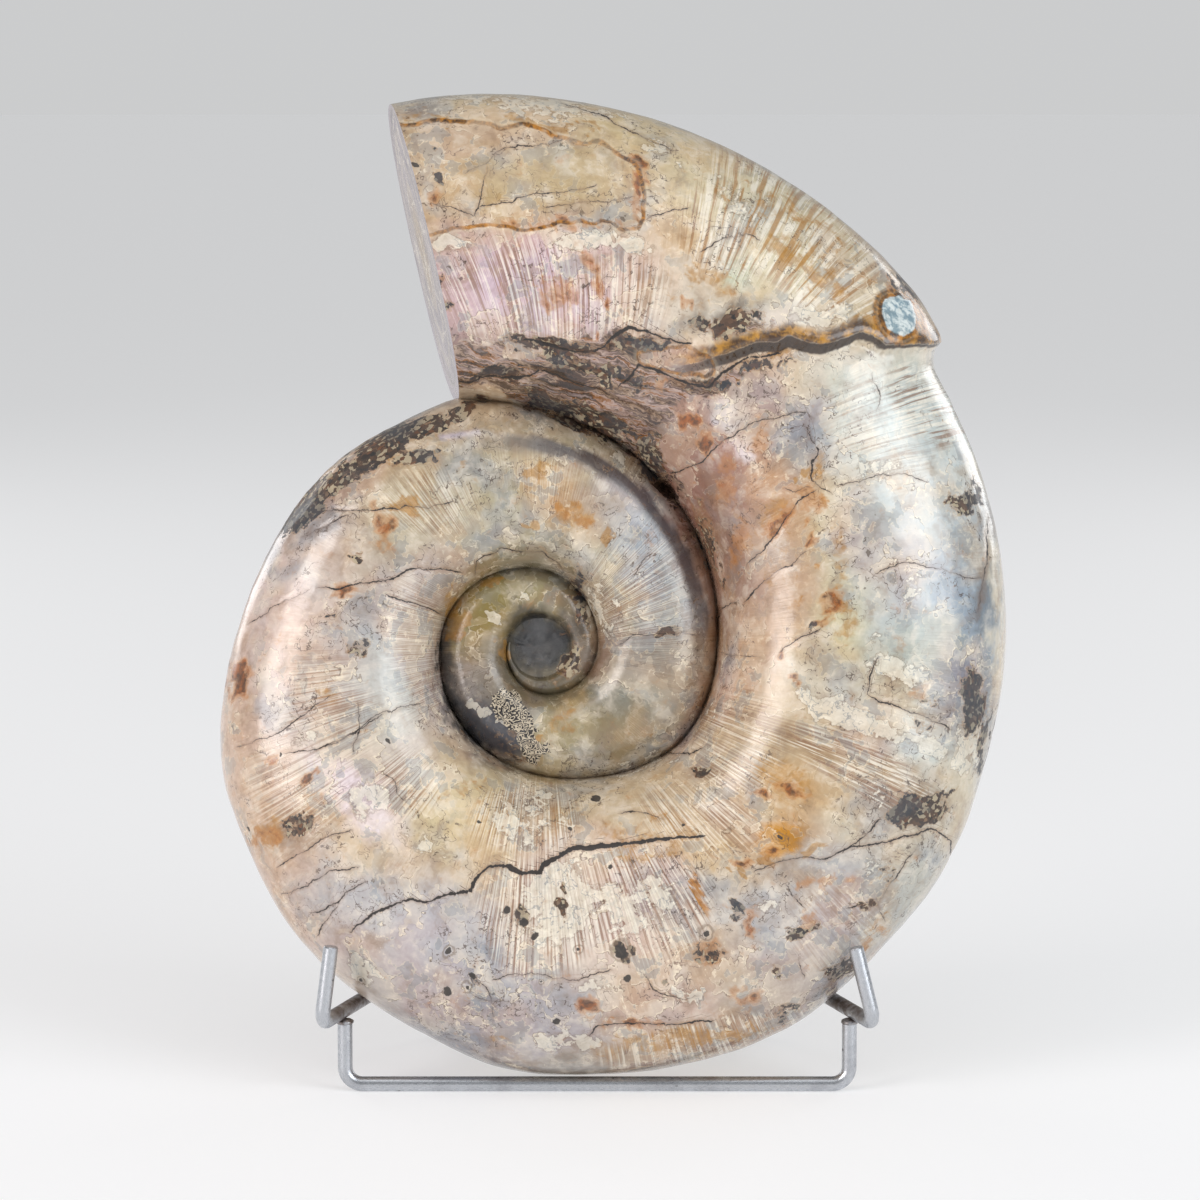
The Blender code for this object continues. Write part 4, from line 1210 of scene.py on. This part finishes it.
def shell_material(trios, pits):
    m = Nodes("polished_fossil_shell")
    place = m.place()
    push = m.vector("SUBTRACT", m.noise(place, 70.0, 4.0, 0.66, out=1), (0.5, 0.5, 0.5))
    bent = m.vector("ADD", place, m.vector("SCALE", push, scale=0.010))
    shifted = m.vector("ADD", bent, (3.1, 1.7, 5.3))

    broad = m.noise(place, 20.0, 2.0, 0.55)
    warm = m.noise(bent, 34.0, 3.0, 0.6)
    cool = m.noise(shifted, 30.0, 3.0, 0.62)
    mid = m.noise(bent, 95.0, 3.0, 0.65)
    fine = m.noise(bent, 330.0, 3.0, 0.65)

    dark, rust, gold = m.split(m.named("stains"))
    white, lirae, maze = m.split(m.named("layers"))
    plate, lip, flare = m.split(m.named("borders"))
    n = m.tree.nodes.new("ShaderNodeRGBToBW")
    m.put(n.inputs[0], m.named("paint", "Color"))
    lift = m.ramp(n.outputs[0], 0.02, 0.30)

    # Clouds of warmer, cooler and pinker nacre.
    colour = m.named("paint", "Color")
    colour = m.mix(m.mul(m.mul(m.ramp(warm, 0.47, 0.66), 0.30), lift), colour, rgb(196, 160, 112))
    colour = m.mix(m.mul(m.mul(m.ramp(cool, 0.50, 0.64), 0.34), lift), colour, rgb(166, 174, 182))
    colour = m.mix(m.mul(m.mul(m.ramp(cool, 0.57, 0.70), 0.42), lift), colour, rgb(120, 126, 136))
    colour = m.mix(m.mul(m.mul(m.ramp(broad, 0.50, 0.64), 0.24), lift), colour, rgb(200, 166, 160))
    colour = m.mix(m.mul(m.mul(m.ramp(mid, 0.46, 0.70), 0.45), lift), colour, rgb(230, 222, 210))
    colour = m.mix(m.mul(m.mul(m.ramp(mid, 0.50, 0.28), lift), 0.40), colour, rgb(140, 116, 94))

    # Growth lines, streaked along the radius.
    growth = m.named("growth")
    sway = m.vector("SCALE", (1.0, -0.8, 0.4), scale=m.mul(m.add(broad, -0.5), 2.2))
    gx, gy, _ = m.split(growth)
    ribs = m.math("SINE", m.madd(m.math("ARCTAN2", gy, gx), 430.0, m.mul(broad, 30.0)))
    lines = m.madd(ribs, 0.035, m.noise(m.vector("ADD", growth, sway), 1.0, 3.0, 0.62))
    gate = m.mul(m.ramp(m.add(m.mul(lirae, 0.85), m.mul(warm, 0.5)), 0.44, 0.84), lift)
    light_lines = m.mul(m.ramp(lines, 0.53, 0.59), gate)
    dark_lines = m.mul(m.ramp(lines, 0.47, 0.41), gate)
    colour = m.mix(m.mul(light_lines, 0.66), colour, rgb(236, 230, 218))
    colour = m.mix(m.mul(dark_lines, 0.72), colour, m.mix(m.mul(gold, 2.2), rgb(150, 122, 104), rgb(186, 144, 84)))

    # Worn shell layers: islands with a pale rim and a thin dark line outside it.
    isle = m.noise(bent, 46.0, 3.0, 0.64)
    inside = m.ramp(isle, 0.532, 0.537)
    busy = m.madd(m.ramp(broad, 0.40, 0.56), 0.75, 0.25)
    colour = m.mix(m.mul(m.mul(inside, 0.26), m.mul(lift, busy)), colour, rgb(218, 204, 184))
    rim = m.mul(inside, m.ramp(isle, 0.556, 0.540))
    edge = m.mul(m.ramp(isle, 0.522, 0.531), m.ramp(isle, 0.537, 0.532))
    some = m.mul(m.ramp(mid, 0.42, 0.58), busy)
    colour = m.mix(m.mul(m.mul(m.mul(rim, some), lift), 0.55), colour, rgb(238, 228, 208))
    colour = m.mix(m.mul(m.mul(edge, some), 0.55), colour, rgb(104, 84, 66))
    film = m.noise(shifted, 84.0, 3.0, 0.62)
    thin_film = m.ramp(film, 0.572, 0.578)
    colour = m.mix(m.mul(m.mul(thin_film, 0.36), m.mul(lift, busy)), colour, rgb(140, 148, 152))
    film_edge = m.mul(m.ramp(film, 0.560, 0.571), m.ramp(film, 0.584, 0.575))
    colour = m.mix(m.mul(m.mul(m.mul(film_edge, lift), 0.35), busy), colour, rgb(228, 218, 196))
    fleck = fine
    flecks = m.mul(m.ramp(fleck, 0.60, 0.635), m.ramp(warm, 0.46, 0.56))
    colour = m.mix(m.mul(m.mul(m.mul(flecks, lift), 0.42), busy), colour, rgb(236, 226, 206))
    specks = m.mul(m.ramp(fleck, 0.36, 0.335), m.ramp(cool, 0.48, 0.58))
    colour = m.mix(m.mul(specks, 0.60), colour, rgb(92, 76, 62))

    # Fine veins.
    web = m.math("ABSOLUTE", m.add(film, -0.47))
    shown = m.ramp(cool, 0.44, 0.54)
    veins = m.mul(m.ramp(web, 0.008, 0.002), shown)
    colour = m.mix(m.mul(veins, 0.72), colour, rgb(92, 78, 72))

    # Chalky crust; on the lower left flank one patch of it is a painted highlight.
    chalk_and_highlight_in = m.add(white, m.madd(m.add(film, -0.5), 1.2, m.mul(m.add(fine, -0.5), 0.7)))
    chalk_and_highlight = m.ramp(chalk_and_highlight_in, 0.50, 0.56)
    chalk_rim = m.mul(m.ramp(chalk_and_highlight_in, 0.40, 0.48), m.ramp(chalk_and_highlight_in, 0.54, 0.49))
    colour = m.mix(m.mul(chalk_and_highlight, m.madd(light_lines, 0.30, 0.58)), colour, m.mix(fine, rgb(206, 196, 176), rgb(240, 236, 226)))
    crackle = m.ramp(m.math("ABSOLUTE", m.add(mid, -0.5)), 0.016, 0.004)
    colour = m.mix(m.mul(m.mul(crackle, chalk_and_highlight), 0.5), colour, rgb(112, 120, 128))
    colour = m.mix(m.mul(chalk_rim, 0.30), colour, rgb(120, 100, 80))

    # Golden calcite and rust.
    stain = m.add(m.noise(bent, 120.0, 3.0, 0.68), -0.5)
    gold_in = m.madd(stain, 1.5, gold)
    colour = m.mix(m.mul(m.ramp(gold_in, 0.30, 0.62), 0.62), colour, m.mix(fine, rgb(140, 100, 50), rgb(200, 160, 98)))
    rust_in = m.madd(stain, 1.7, rust)
    halo = m.ramp(rust_in, 0.16, 0.60)
    colour = m.mix(m.mul(halo, 0.50), colour, rgb(186, 134, 82))
    iron = m.ramp(rust_in, 0.54, 0.90)
    colour = m.mix(m.mul(iron, 0.80), colour, m.mix(m.ramp(fine, 0.34, 0.66), rgb(66, 40, 26), rgb(158, 98, 52)))

    # Broken strata above the seam: strands of mud, calcite and rust.
    x, y, z = m.split(bent)
    n = m.tree.nodes.new("ShaderNodeCombineXYZ")
    m.put(n.inputs[0], m.mul(x, 30.0))
    m.put(n.inputs[1], m.mul(y, 30.0))
    m.put(n.inputs[2], m.add(m.mul(z, 230.0), m.mul(x, 56.0)))
    strand = m.noise(n.outputs[0], 1.0, 3.0, 0.62)
    strands = m.stops(m.ramp(strand, 0.28, 0.72, False), [
        (0.0, rgb(30, 26, 28)), (0.20, rgb(52, 42, 40)), (0.34, rgb(94, 74, 64)), (0.42, rgb(172, 152, 134)),
        (0.47, rgb(82, 64, 56)), (0.56, rgb(148, 130, 124)), (0.64, rgb(188, 170, 162)),
        (0.72, rgb(146, 102, 60)), (0.80, rgb(62, 52, 50)), (1.0, rgb(158, 146, 146)),
    ])
    layered = m.ramp(m.madd(stain, 0.9, m.named("strata", "Fac")), 0.34, 0.60)
    colour = m.mix(m.mul(layered, 0.88), colour, strands)

    # The flare's lip: golden-brown calcite, over a painted shadow in the undercut below it.
    thinned = m.ramp(x, 0.065, 0.120)
    lip_in = m.add(lip, m.mul(m.add(mid, -0.5), 5.0))
    gilt = m.mul(m.mul(m.ramp(lip_in, -1.2, 0.6), m.ramp(lip_in, 17.0, 7.0)), flare)
    colour = m.mix(m.mul(gilt, 0.90), colour, m.mix(m.ramp(stain, -0.10, 0.12), rgb(70, 46, 30), rgb(188, 146, 78)))
    # Painted shadow: dark brown under the lip, where the undercut lies in shade.
    undercut_shadow = m.mul(m.mul(m.ramp(lip_in, 0.4, -1.4), m.ramp(lip_in, m.madd(thinned, 7.0, -11.0), m.madd(thinned, 6.5, -8.5))), flare)
    colour = m.mix(m.mul(undercut_shadow, 0.92), colour, m.mix(fine, rgb(26, 20, 18), rgb(78, 58, 44)))

    # Plates: the border of each is a golden-brown line.
    edge_in = m.add(plate, m.mul(m.add(mid, -0.5), 3.5))
    eye = m.mul(m.math("GREATER_THAN", flare, 0.5), m.math("GREATER_THAN", x, 0.098))
    border = m.mul(
        m.ramp(edge_in, m.madd(eye, -6.0, -3.2), m.madd(eye, -3.0, -1.4)), m.ramp(edge_in, 2.6, 0.8)
    )
    colour = m.mix(m.mul(m.mul(m.ramp(edge_in, 0.0, 1.5), eye), 0.85), colour, m.mix(m.ramp(fine, 0.36, 0.62), rgb(138, 164, 176), rgb(222, 230, 230)))
    strong = m.top(eye, m.ramp(m.add(m.mul(gold, 0.9), m.mul(m.add(rust, warm), 0.8)), 0.30, 0.75))
    colour = m.mix(m.mul(border, m.madd(strong, 0.50, 0.42)), colour, m.mix(m.ramp(fine, 0.35, 0.65), rgb(76, 52, 30), rgb(182, 132, 66)))
    outside = m.mul(m.ramp(edge_in, -6.5, -3.0), m.ramp(edge_in, -1.2, -2.6))
    colour = m.mix(m.mul(outside, 0.18), colour, rgb(230, 218, 194))

    # Dark matrix: grains of mud and pyrite between paler specks.
    dark_in = m.add(dark, m.madd(m.add(isle, -0.5), 0.9, m.mul(m.add(fine, -0.5), 1.25)))
    matrix = m.ramp(dark_in, 0.48, 0.58)
    crust = m.mul(m.ramp(dark_in, 0.36, 0.47), m.ramp(dark_in, 0.55, 0.50))
    grain = m.cells(bent, 620.0, "F1", "Color")
    g1, g2, g3 = m.split(grain)
    muddy = m.mix(g1, rgb(26, 21, 20), rgb(108, 82, 62))
    muddy = m.mix(m.mul(m.ramp(fine, 0.58, 0.68), 0.5), muddy, rgb(140, 126, 110))
    muddy = m.mix(m.mul(m.ramp(g2, 0.72, 0.78), 0.75), muddy, rgb(196, 184, 160))
    muddy = m.mix(m.mul(m.ramp(g3, 0.93, 0.96), 0.6), muddy, rgb(128, 84, 50))
    muddy = m.mix(m.mul(m.ramp(cool, 0.42, 0.58), 0.6), muddy, rgb(66, 74, 84))
    colour = m.mix(m.mul(crust, 0.40), colour, rgb(166, 136, 104))
    colour = m.mix(m.mul(matrix, 0.95), colour, muddy)

    # The labyrinth of a suture cut through in polishing.
    loops = m.math("SINE", m.mul(m.noise(place, 400.0, 1.0, 0.5), 44.0))
    maze_on = m.ramp(m.add(maze, m.mul(m.add(mid, -0.5), 0.8)), 0.45, 0.55)
    ink = m.mix(m.ramp(loops, -0.25, 0.25), rgb(34, 27, 24), rgb(196, 186, 168))
    colour = m.mix(m.mul(maze_on, 0.92), colour, ink)

    # Cracks.
    jitter = m.mul(m.add(m.noise(place, 420.0, 2.0, 0.72), -0.5), 4.4)
    vary = m.ramp(mid, 0.36, 0.64)
    line, glow = None, None
    for k in range(trios):
        distances = m.split(m.named(f"crack_distance_{k}"))
        widths = m.split(m.named(f"crack_width_{k}"))
        for distance, width in zip(distances, widths):
            gap = m.math("ABSOLUTE", m.add(distance, jitter))
            half = m.mul(width, m.madd(vary, 0.34, 0.21))
            on = m.mul(m.madd(width, 0.50, m.mul(vary, 0.50), clamp=True), m.mul(width, 4.0, clamp=True))
            one = m.mul(m.math("DIVIDE", m.math("SUBTRACT", m.add(half, 0.25), gap), 0.5, clamp=True), on)
            wide = m.mul(m.math("DIVIDE", m.math("SUBTRACT", m.add(half, 3.0), gap), 3.0, clamp=True), on)
            line = one if line is None else m.top(line, one)
            glow = wide if glow is None else m.top(glow, wide)
    colour = m.mix(m.mul(glow, 0.30), colour, rgb(134, 98, 70))
    colour = m.mix(m.mul(line, 0.96), colour, m.mix(fine, rgb(10, 8, 8), rgb(52, 38, 32)))

    # Pits and rings.
    hole, ring = None, None
    ragged = m.vector("ADD", place, m.vector("SCALE", push, scale=0.0085))
    for centre, radius, ring_radius in pits:
        d = m.vector("DISTANCE", ragged, tuple(float(v) for v in centre))
        one = m.ramp(d, radius * 1.1, radius * 0.85)
        hole = one if hole is None else m.top(hole, one)
        if ring_radius:
            band = m.mul(
                m.ramp(d, ring_radius * 0.72, ring_radius * 0.88), m.ramp(d, ring_radius * 1.25, ring_radius)
            )
            ring = band if ring is None else m.top(ring, band)
    colour = m.mix(m.mul(ring, 0.5), colour, rgb(126, 110, 92))
    colour = m.mix(m.mul(hole, 0.92), colour, m.mix(fine, rgb(22, 20, 20), rgb(78, 70, 64)))

    shade = m.add(m.mul(fine, 0.30), 0.85)
    colour = m.mix(1.0, colour, shade, "MULTIPLY")
    n = m.tree.nodes.new("ShaderNodeHueSaturation")
    n.inputs["Saturation"].default_value = 1.06
    n.inputs["Value"].default_value = 1.0
    deep = m.tree.nodes.new("ShaderNodeGamma")
    deep.inputs["Gamma"].default_value = 1.24
    m.put(deep.inputs["Color"], colour)
    m.put(n.inputs["Color"], deep.outputs[0])
    m.put(m.shader.inputs["Base Color"], n.outputs[0])

    gloss = m.madd(mid, 0.14, 0.13)
    gloss = m.madd(m.top(matrix, line, hole), 0.50, gloss)
    gloss = m.madd(m.top(m.mul(chalk_and_highlight, 0.5), m.mul(iron, 0.5)), 0.20, gloss, clamp=True)
    m.put(m.shader.inputs["Roughness"], gloss)
    m.shader.inputs["IOR"].default_value = 1.60
    m.shader.inputs["Coat Weight"].default_value = 0.35
    m.shader.inputs["Coat Roughness"].default_value = 0.15

    combed = m.mul(m.ramp(lines, 0.42, 0.58), lirae)
    height = m.mul(combed, 0.22)
    m.put(m.shader.inputs["Normal"], m.bump(height, 0.00045, 0.9))
    return m.material


def cut_material():
    """The sawn and polished section: shell wall, then banded calcite and mud."""
    m = Nodes("sawn_section")
    place = m.place()
    centre = to_world(shell_point(np.array(LAST_TURN), np.array(0.166), np.array(0.0)))
    away = m.vector("SUBTRACT", place, tuple(float(v) for v in centre))
    side = (0.0, -1.0 * math.cos(LEAN), math.sin(LEAN))
    up = (-0.2247, 0.9701 * math.sin(LEAN), 0.9701 * math.cos(LEAN))
    x = m.math("DIVIDE", m.vector("DOT_PRODUCT", away, side), 0.0525)
    y = m.math("DIVIDE", m.vector("DOT_PRODUCT", away, up), 0.0600)
    wobble = m.mul(m.add(m.noise(place, 30.0, 4.0, 0.6), -0.5), 0.22)
    out = m.add(m.math("SQRT", m.add(m.mul(x, x), m.mul(y, y))), wobble)
    bands = m.noise(m.vector("ADD", place, (1.0, 2.0, 3.0)), 46.0, 5.0, 0.65)
    grain = m.noise(place, 420.0, 4.0, 0.65)
    # The base greys are the section's own grey-violet, darkened as painted shade for the cut face.
    colour = m.mix(m.ramp(bands, 0.38, 0.62), rgb(122, 110, 118), rgb(160, 148, 150))
    rings = m.math("SINE", m.mul(out, 34.0))
    colour = m.mix(m.mul(m.ramp(rings, -0.2, 0.9), 0.30), colour, rgb(206, 192, 168))
    colour = m.mix(m.mul(m.ramp(out, 0.55, 0.15), 0.75), colour, m.mix(m.ramp(grain, 0.35, 0.65), rgb(120, 92, 60), rgb(190, 164, 120)))
    veins = m.ramp(m.cells(m.vector("ADD", place, m.vector("SCALE", m.noise(place, 60.0, out=1), scale=0.02)), 42.0, "DISTANCE_TO_EDGE"), 0.03, 0.008)
    colour = m.mix(m.mul(veins, 0.6), colour, rgb(226, 216, 198))
    colour = m.mix(m.mul(m.ramp(grain, 0.56, 0.62), 0.35), colour, rgb(92, 84, 84))
    wall = m.ramp(out, 0.93, 0.96)
    colour = m.mix(m.mul(wall, 0.55), colour, rgb(144, 132, 150))
    seam = m.mul(m.ramp(out, 0.90, 0.93), m.ramp(out, 0.96, 0.93))
    colour = m.mix(m.mul(seam, 0.5), colour, rgb(84, 70, 66))
    m.put(m.shader.inputs["Base Color"], colour)
    m.put(m.shader.inputs["Roughness"], m.madd(grain, 0.2, 0.18))
    m.shader.inputs["Coat Weight"].default_value = 0.2
    m.shader.inputs["Coat Roughness"].default_value = 0.1
    m.put(m.shader.inputs["Normal"], m.bump(grain, 0.0001, 0.6))
    return m.material


def steel_material():
    m = Nodes("drawn_steel_rod")
    place = m.place()
    along, around, tint_and_shade = m.split(m.named("drawn"))
    n = m.tree.nodes.new("ShaderNodeCombineXYZ")
    m.put(n.inputs[0], m.mul(along, 9.0))
    m.put(n.inputs[1], m.mul(around, 1.6))
    m.put(n.inputs[2], 0.5)
    streak = m.noise(n.outputs[0], 6.0, 3.0, 0.6)
    cloud = m.noise(place, 60.0, 3.0, 0.6)
    colour = m.mix(m.ramp(streak, 0.3, 0.7), rgb(176, 180, 186), rgb(206, 208, 212))
    colour = m.mix(m.mul(m.ramp(cloud, 0.5, 0.7), 0.30), colour, rgb(140, 140, 146))
    nicks = m.mul(m.ramp(m.cells(place, 210.0), 0.16, 0.08), m.ramp(m.noise(place, 90.0), 0.52, 0.60))
    colour = m.mix(m.mul(nicks, 0.75), colour, rgb(52, 44, 40))
    # The third channel of drawn darkens the steel towards brown: real heat tint on the welds, painted shade on the
    # arms under the shell.
    heat_tint_and_shade = m.mul(tint_and_shade, m.ramp(m.noise(place, 130.0, 4.0, 0.65), 0.30, 0.65))
    colour = m.mix(m.mul(heat_tint_and_shade, 0.85), colour, m.mix(cloud, rgb(58, 46, 40), rgb(120, 92, 70)))
    m.put(m.shader.inputs["Base Color"], colour)
    m.shader.inputs["Metallic"].default_value = 1.0
    rough = m.madd(streak, 0.16, 0.20)
    rough = m.madd(m.top(heat_tint_and_shade, nicks), 0.25, rough, clamp=True)
    m.put(m.shader.inputs["Roughness"], rough)
    m.put(m.shader.inputs["Normal"], m.bump(m.add(m.mul(streak, 0.5), m.mul(nicks, -1.0)), 0.00008, 0.6))
    return m.material


# ----------------------------------------------------------------- the stand

ROD = 2.95 * MM
CAD_ROD = 3.0 * MM
ARM_Z = 32.0 * MM
FOOT_Z = ROD
HOOK_Y = -62.0 * MM
LEFT_TIP, LEFT_CORNER = (-111.6 * MM, HOOK_Y, 63.2 * MM), (-115.6 * MM, HOOK_Y, ARM_Z)
RIGHT_TIP, RIGHT_CORNER = (94.4 * MM, HOOK_Y, 62.8 * MM), (102.0 * MM, HOOK_Y, ARM_Z)
LEFT_REAR, RIGHT_REAR = -88.3 * MM, 73.4 * MM
REAR_BEND_Y, BACKREST_TOP_Z = 25.6 * MM, 112.0 * MM


def bent_path(corners, bend, steps=14):
    corners = [Vector(c) for c in corners]
    points = [corners[0]]
    for before, corner, after in zip(corners, corners[1:], corners[2:]):
        back, on = (before - corner).normalized(), (after - corner).normalized()
        half = back.angle(on) / 2
        reach = bend / math.tan(half)
        centre = corner + (back + on).normalized() * (bend / math.sin(half))
        start, end = corner + back * reach - centre, corner + on * reach - centre
        sweep = start.angle(end)
        for k in range(steps + 1):
            a = sweep * k / steps
            points.append(centre + (start * math.sin(sweep - a) + end * math.sin(a)) / math.sin(sweep))
    points.append(corners[-1])
    return points


def swept(bm, layer, points, radius, sides=28, tint_and_shade=None):
    """A round rod along the points, its cut ends slightly chamfered."""
    fine = [points[0]]
    for a, b in zip(points, points[1:]):
        parts = max(1, int((b - a).length / (6 * MM)))
        fine += [a.lerp(b, k / parts) for k in range(1, parts + 1)]
    points = fine
    first = (points[1] - points[0]).normalized()
    last = (points[-1] - points[-2]).normalized()
    rings = [(points[0], 0.86), (points[0] + first * 0.5 * MM, 1.0)]
    rings += [(p, 1.0) for p in points[1:-1]]
    rings += [(points[-1] - last * 0.5 * MM, 1.0), (points[-1], 0.86)]
    direction = first
    side = direction.orthogonal().normalized()
    made, run = [], 0.0
    for k, (p, size) in enumerate(rings):
        a, b = rings[max(0, k - 1)][0], rings[min(len(rings) - 1, k + 1)][0]
        on = (b - a).normalized()
        side = (side - on * side.dot(on)).normalized()
        other = on.cross(side)
        if k:
            run += (p - rings[k - 1][0]).length
        ring = []
        for i in range(sides):
            t = 2 * math.pi * i / sides
            v = bm.verts.new(p + (side * math.cos(t) + other * math.sin(t)) * radius * size)
            v[layer] = Vector((run * 10, math.cos(t) * 3.0 + 0.7 * math.sin(t), tint_and_shade(p) if tint_and_shade else 0.0))
            ring.append(v)
        made.append(ring)
    for a, b in zip(made, made[1:]):
        for i in range(sides):
            j = (i + 1) % sides
            bm.faces.new((a[i], a[j], b[j], b[i]))
    bm.faces.new(made[0][::-1])
    bm.faces.new(made[-1])


def weld(bm, layer, place, size, seed):
    """A small puddled bead of weld, uneven."""
    made = bmesh.ops.create_uvsphere(bm, u_segments=18, v_segments=12, radius=1.0)["verts"]
    for v in made:
        lump = 1.0 + 0.10 * noise.noise(v.co * 2.1 + Vector((seed, 0, 0)))
        v.co = Vector(place) + Vector((v.co.x * size[0], v.co.y * size[1], v.co.z * size[2])) * lump
        v[layer] = Vector((v.co.x * 40, v.co.z * 60, 1.0))


def rod_piece(name, paths, welds=(), tint_and_shade=None):
    bm = bmesh.new()
    layer = bm.verts.layers.float_vector.new("drawn")
    for path in paths:
        swept(bm, layer, [Vector(STAND_PLACE) + p for p in path], ROD, tint_and_shade=tint_and_shade)
    for k, (place, size) in enumerate(welds):
        weld(bm, layer, Vector(STAND_PLACE) + Vector(place), size, k * 3.3)
    bmesh.ops.recalc_face_normals(bm, faces=bm.faces[:])
    mesh = bpy.data.meshes.new(name)
    bm.to_mesh(mesh)
    bm.free()
    mesh.shade_smooth()
    mesh.set_sharp_from_angle(angle=math.radians(35.0))
    made = bpy.data.objects.new(name, mesh)
    bpy.context.scene.collection.objects.link(made)
    return made


def arm_x(left, y):
    corner, rear = (LEFT_CORNER[0], LEFT_REAR) if left else (RIGHT_CORNER[0], RIGHT_REAR)
    return corner + (rear - corner) * (y - HOOK_Y) / (REAR_BEND_Y - HOOK_Y)


def build_stand():
    back_y = REAR_BEND_Y + (BACKREST_TOP_Z - ARM_Z) * math.tan(LEAN)
    cradle = bent_path(
        [
            LEFT_TIP, LEFT_CORNER, (LEFT_REAR, REAR_BEND_Y, ARM_Z),
            (LEFT_REAR + 6 * MM, back_y, BACKREST_TOP_Z), (RIGHT_REAR - 6 * MM, back_y, BACKREST_TOP_Z),
            (RIGHT_REAR, REAR_BEND_Y, ARM_Z), RIGHT_CORNER, RIGHT_TIP,
        ],
        6.0 * MM,
    )

    # Painted shade: the arms that run back from the hooks under the shell are darkened towards brown.
    def arm_shade(p):
        arm = smooth(0.004, 0.014, p.y + 0.062 - 0.0022)
        return float(arm * (1 - smooth(0.05, 0.09, p.z)))

    cradle_piece = rod_piece("round_cradle_rod", [cradle], tint_and_shade=arm_shade)
    top = ARM_Z - 3.0 * MM - 0.3 * MM
    front = bent_path(
        [
            (-107.4 * MM, -41.0 * MM, top), (-107.4 * MM, -41.0 * MM, FOOT_Z),
            (93.2 * MM, -41.0 * MM, FOOT_Z), (93.2 * MM, -41.0 * MM, top),
        ],
        6.8 * MM,
    )
    bead = (3.5 * MM, 3.6 * MM, 1.5 * MM)
    front_piece = rod_piece(
        "round_front_foot", [front],
        [((-107.4 * MM, -41.0 * MM, top - 0.5 * MM), bead), ((93.2 * MM, -41.0 * MM, top - 0.5 * MM), bead)],
    )
    rear = bent_path(
        [
            (arm_x(True, 16 * MM), 16 * MM, top - 2.6 * MM), (-72 * MM, 58 * MM, FOOT_Z),
            (58 * MM, 58 * MM, FOOT_Z), (arm_x(False, 16 * MM), 16 * MM, top - 2.6 * MM),
        ],
        6.8 * MM,
    )
    rear_bead = (3.6 * MM, 3.9 * MM, 2.2 * MM)
    rear_piece = rod_piece(
        "round_rear_foot", [rear],
        [
            ((arm_x(True, 16 * MM), 15.4 * MM, top - 1.6 * MM), rear_bead),
            ((arm_x(False, 16 * MM), 15.4 * MM, top - 1.6 * MM), rear_bead),
        ],
    )
    return cradle_piece, front_piece, rear_piece


# --------------------------------------------------------------- floor, lights


def build_floor():
    mesh = bpy.data.meshes.new("floor")
    side = 9.0
    mesh.from_pydata([(-side, -side, 0), (side, -side, 0), (side, side, 0), (-side, side, 0)], [], [(0, 1, 2, 3)])
    floor = bpy.data.objects.new("floor", mesh)
    bpy.context.scene.collection.objects.link(floor)
    m = Nodes("pale_floor")
    m.shader.inputs["Base Color"].default_value = (*rgb(204, 204, 205), 1.0)
    m.shader.inputs["Roughness"].default_value = 0.75
    m.shader.inputs["Emission Color"].default_value = (1.0, 1.0, 1.0, 1.0)
    m.shader.inputs["Emission Strength"].default_value = 0.38
    mesh.materials.append(m.material)


def build_light(name, place, aim, size, power, colour):
    data = bpy.data.lights.new(name, "AREA")
    data.shape = "RECTANGLE"
    data.size, data.size_y = size
    data.energy = power
    data.color = colour
    lamp = bpy.data.objects.new(name, data)
    lamp.location = place
    lamp.rotation_euler = (Vector(aim) - Vector(place)).to_track_quat("-Z", "Y").to_euler()
    bpy.context.scene.collection.objects.link(lamp)


def build_lights():
    middle = (0.0, 0.0, 0.2)
    build_light("left_softbox", (-1.5, -1.25, 0.75), middle, (0.9, 1.5), 23.5, (1.0, 0.94, 0.92))
    build_light("right_softbox", (1.45, -1.25, 0.85), middle, (1.3, 1.6), 24.0, (0.94, 0.97, 1.0))
    build_light("top_softbox", (0.1, -0.9, 1.7), middle, (1.4, 0.9), 4.0, (1.0, 1.0, 1.0))
    build_light("rear_left_softbox", (-1.5, 1.6, 0.7), middle, (1.0, 1.0), 7.0, (1.0, 1.0, 1.0))
    build_light("rear_right_softbox", (1.5, 1.6, 0.7), middle, (1.0, 1.0), 7.0, (1.0, 1.0, 1.0))
    world = bpy.data.worlds.new("studio")
    world.use_nodes = True
    tree = world.node_tree
    lit = tree.nodes["Background"]
    lit.inputs[0].default_value = (0.84, 0.86, 0.88, 1.0)
    lit.inputs[1].default_value = 0.42
    shown = tree.nodes.new("ShaderNodeBackground")
    shown.inputs[0].default_value = (0.60, 0.605, 0.61, 1.0)
    path = tree.nodes.new("ShaderNodeLightPath")
    both = tree.nodes.new("ShaderNodeMixShader")
    tree.links.new(path.outputs["Is Camera Ray"], both.inputs[0])
    tree.links.new(lit.outputs[0], both.inputs[1])
    tree.links.new(shown.outputs[0], both.inputs[2])
    tree.links.new(both.outputs[0], tree.nodes["World Output"].inputs[0])
    bpy.context.scene.world = world
    bpy.context.scene.view_settings.view_transform = "Standard"


build_camera()
shell, trios, pits = build_shell()
print("crack fields", trios * 3, "faces", len(shell.data.polygons))
shell.data.materials.append(shell_material(trios, pits))
shell.data.materials.append(cut_material())
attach(shell, "root")
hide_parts("ammonite")

steel = steel_material()
for piece, node in zip(build_stand(), ("cradle_rod", "front_foot_loop", "rear_foot_loop")):
    piece.data.materials.append(steel)
    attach(piece, "root")
    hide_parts(node)

build_floor()
build_lights()
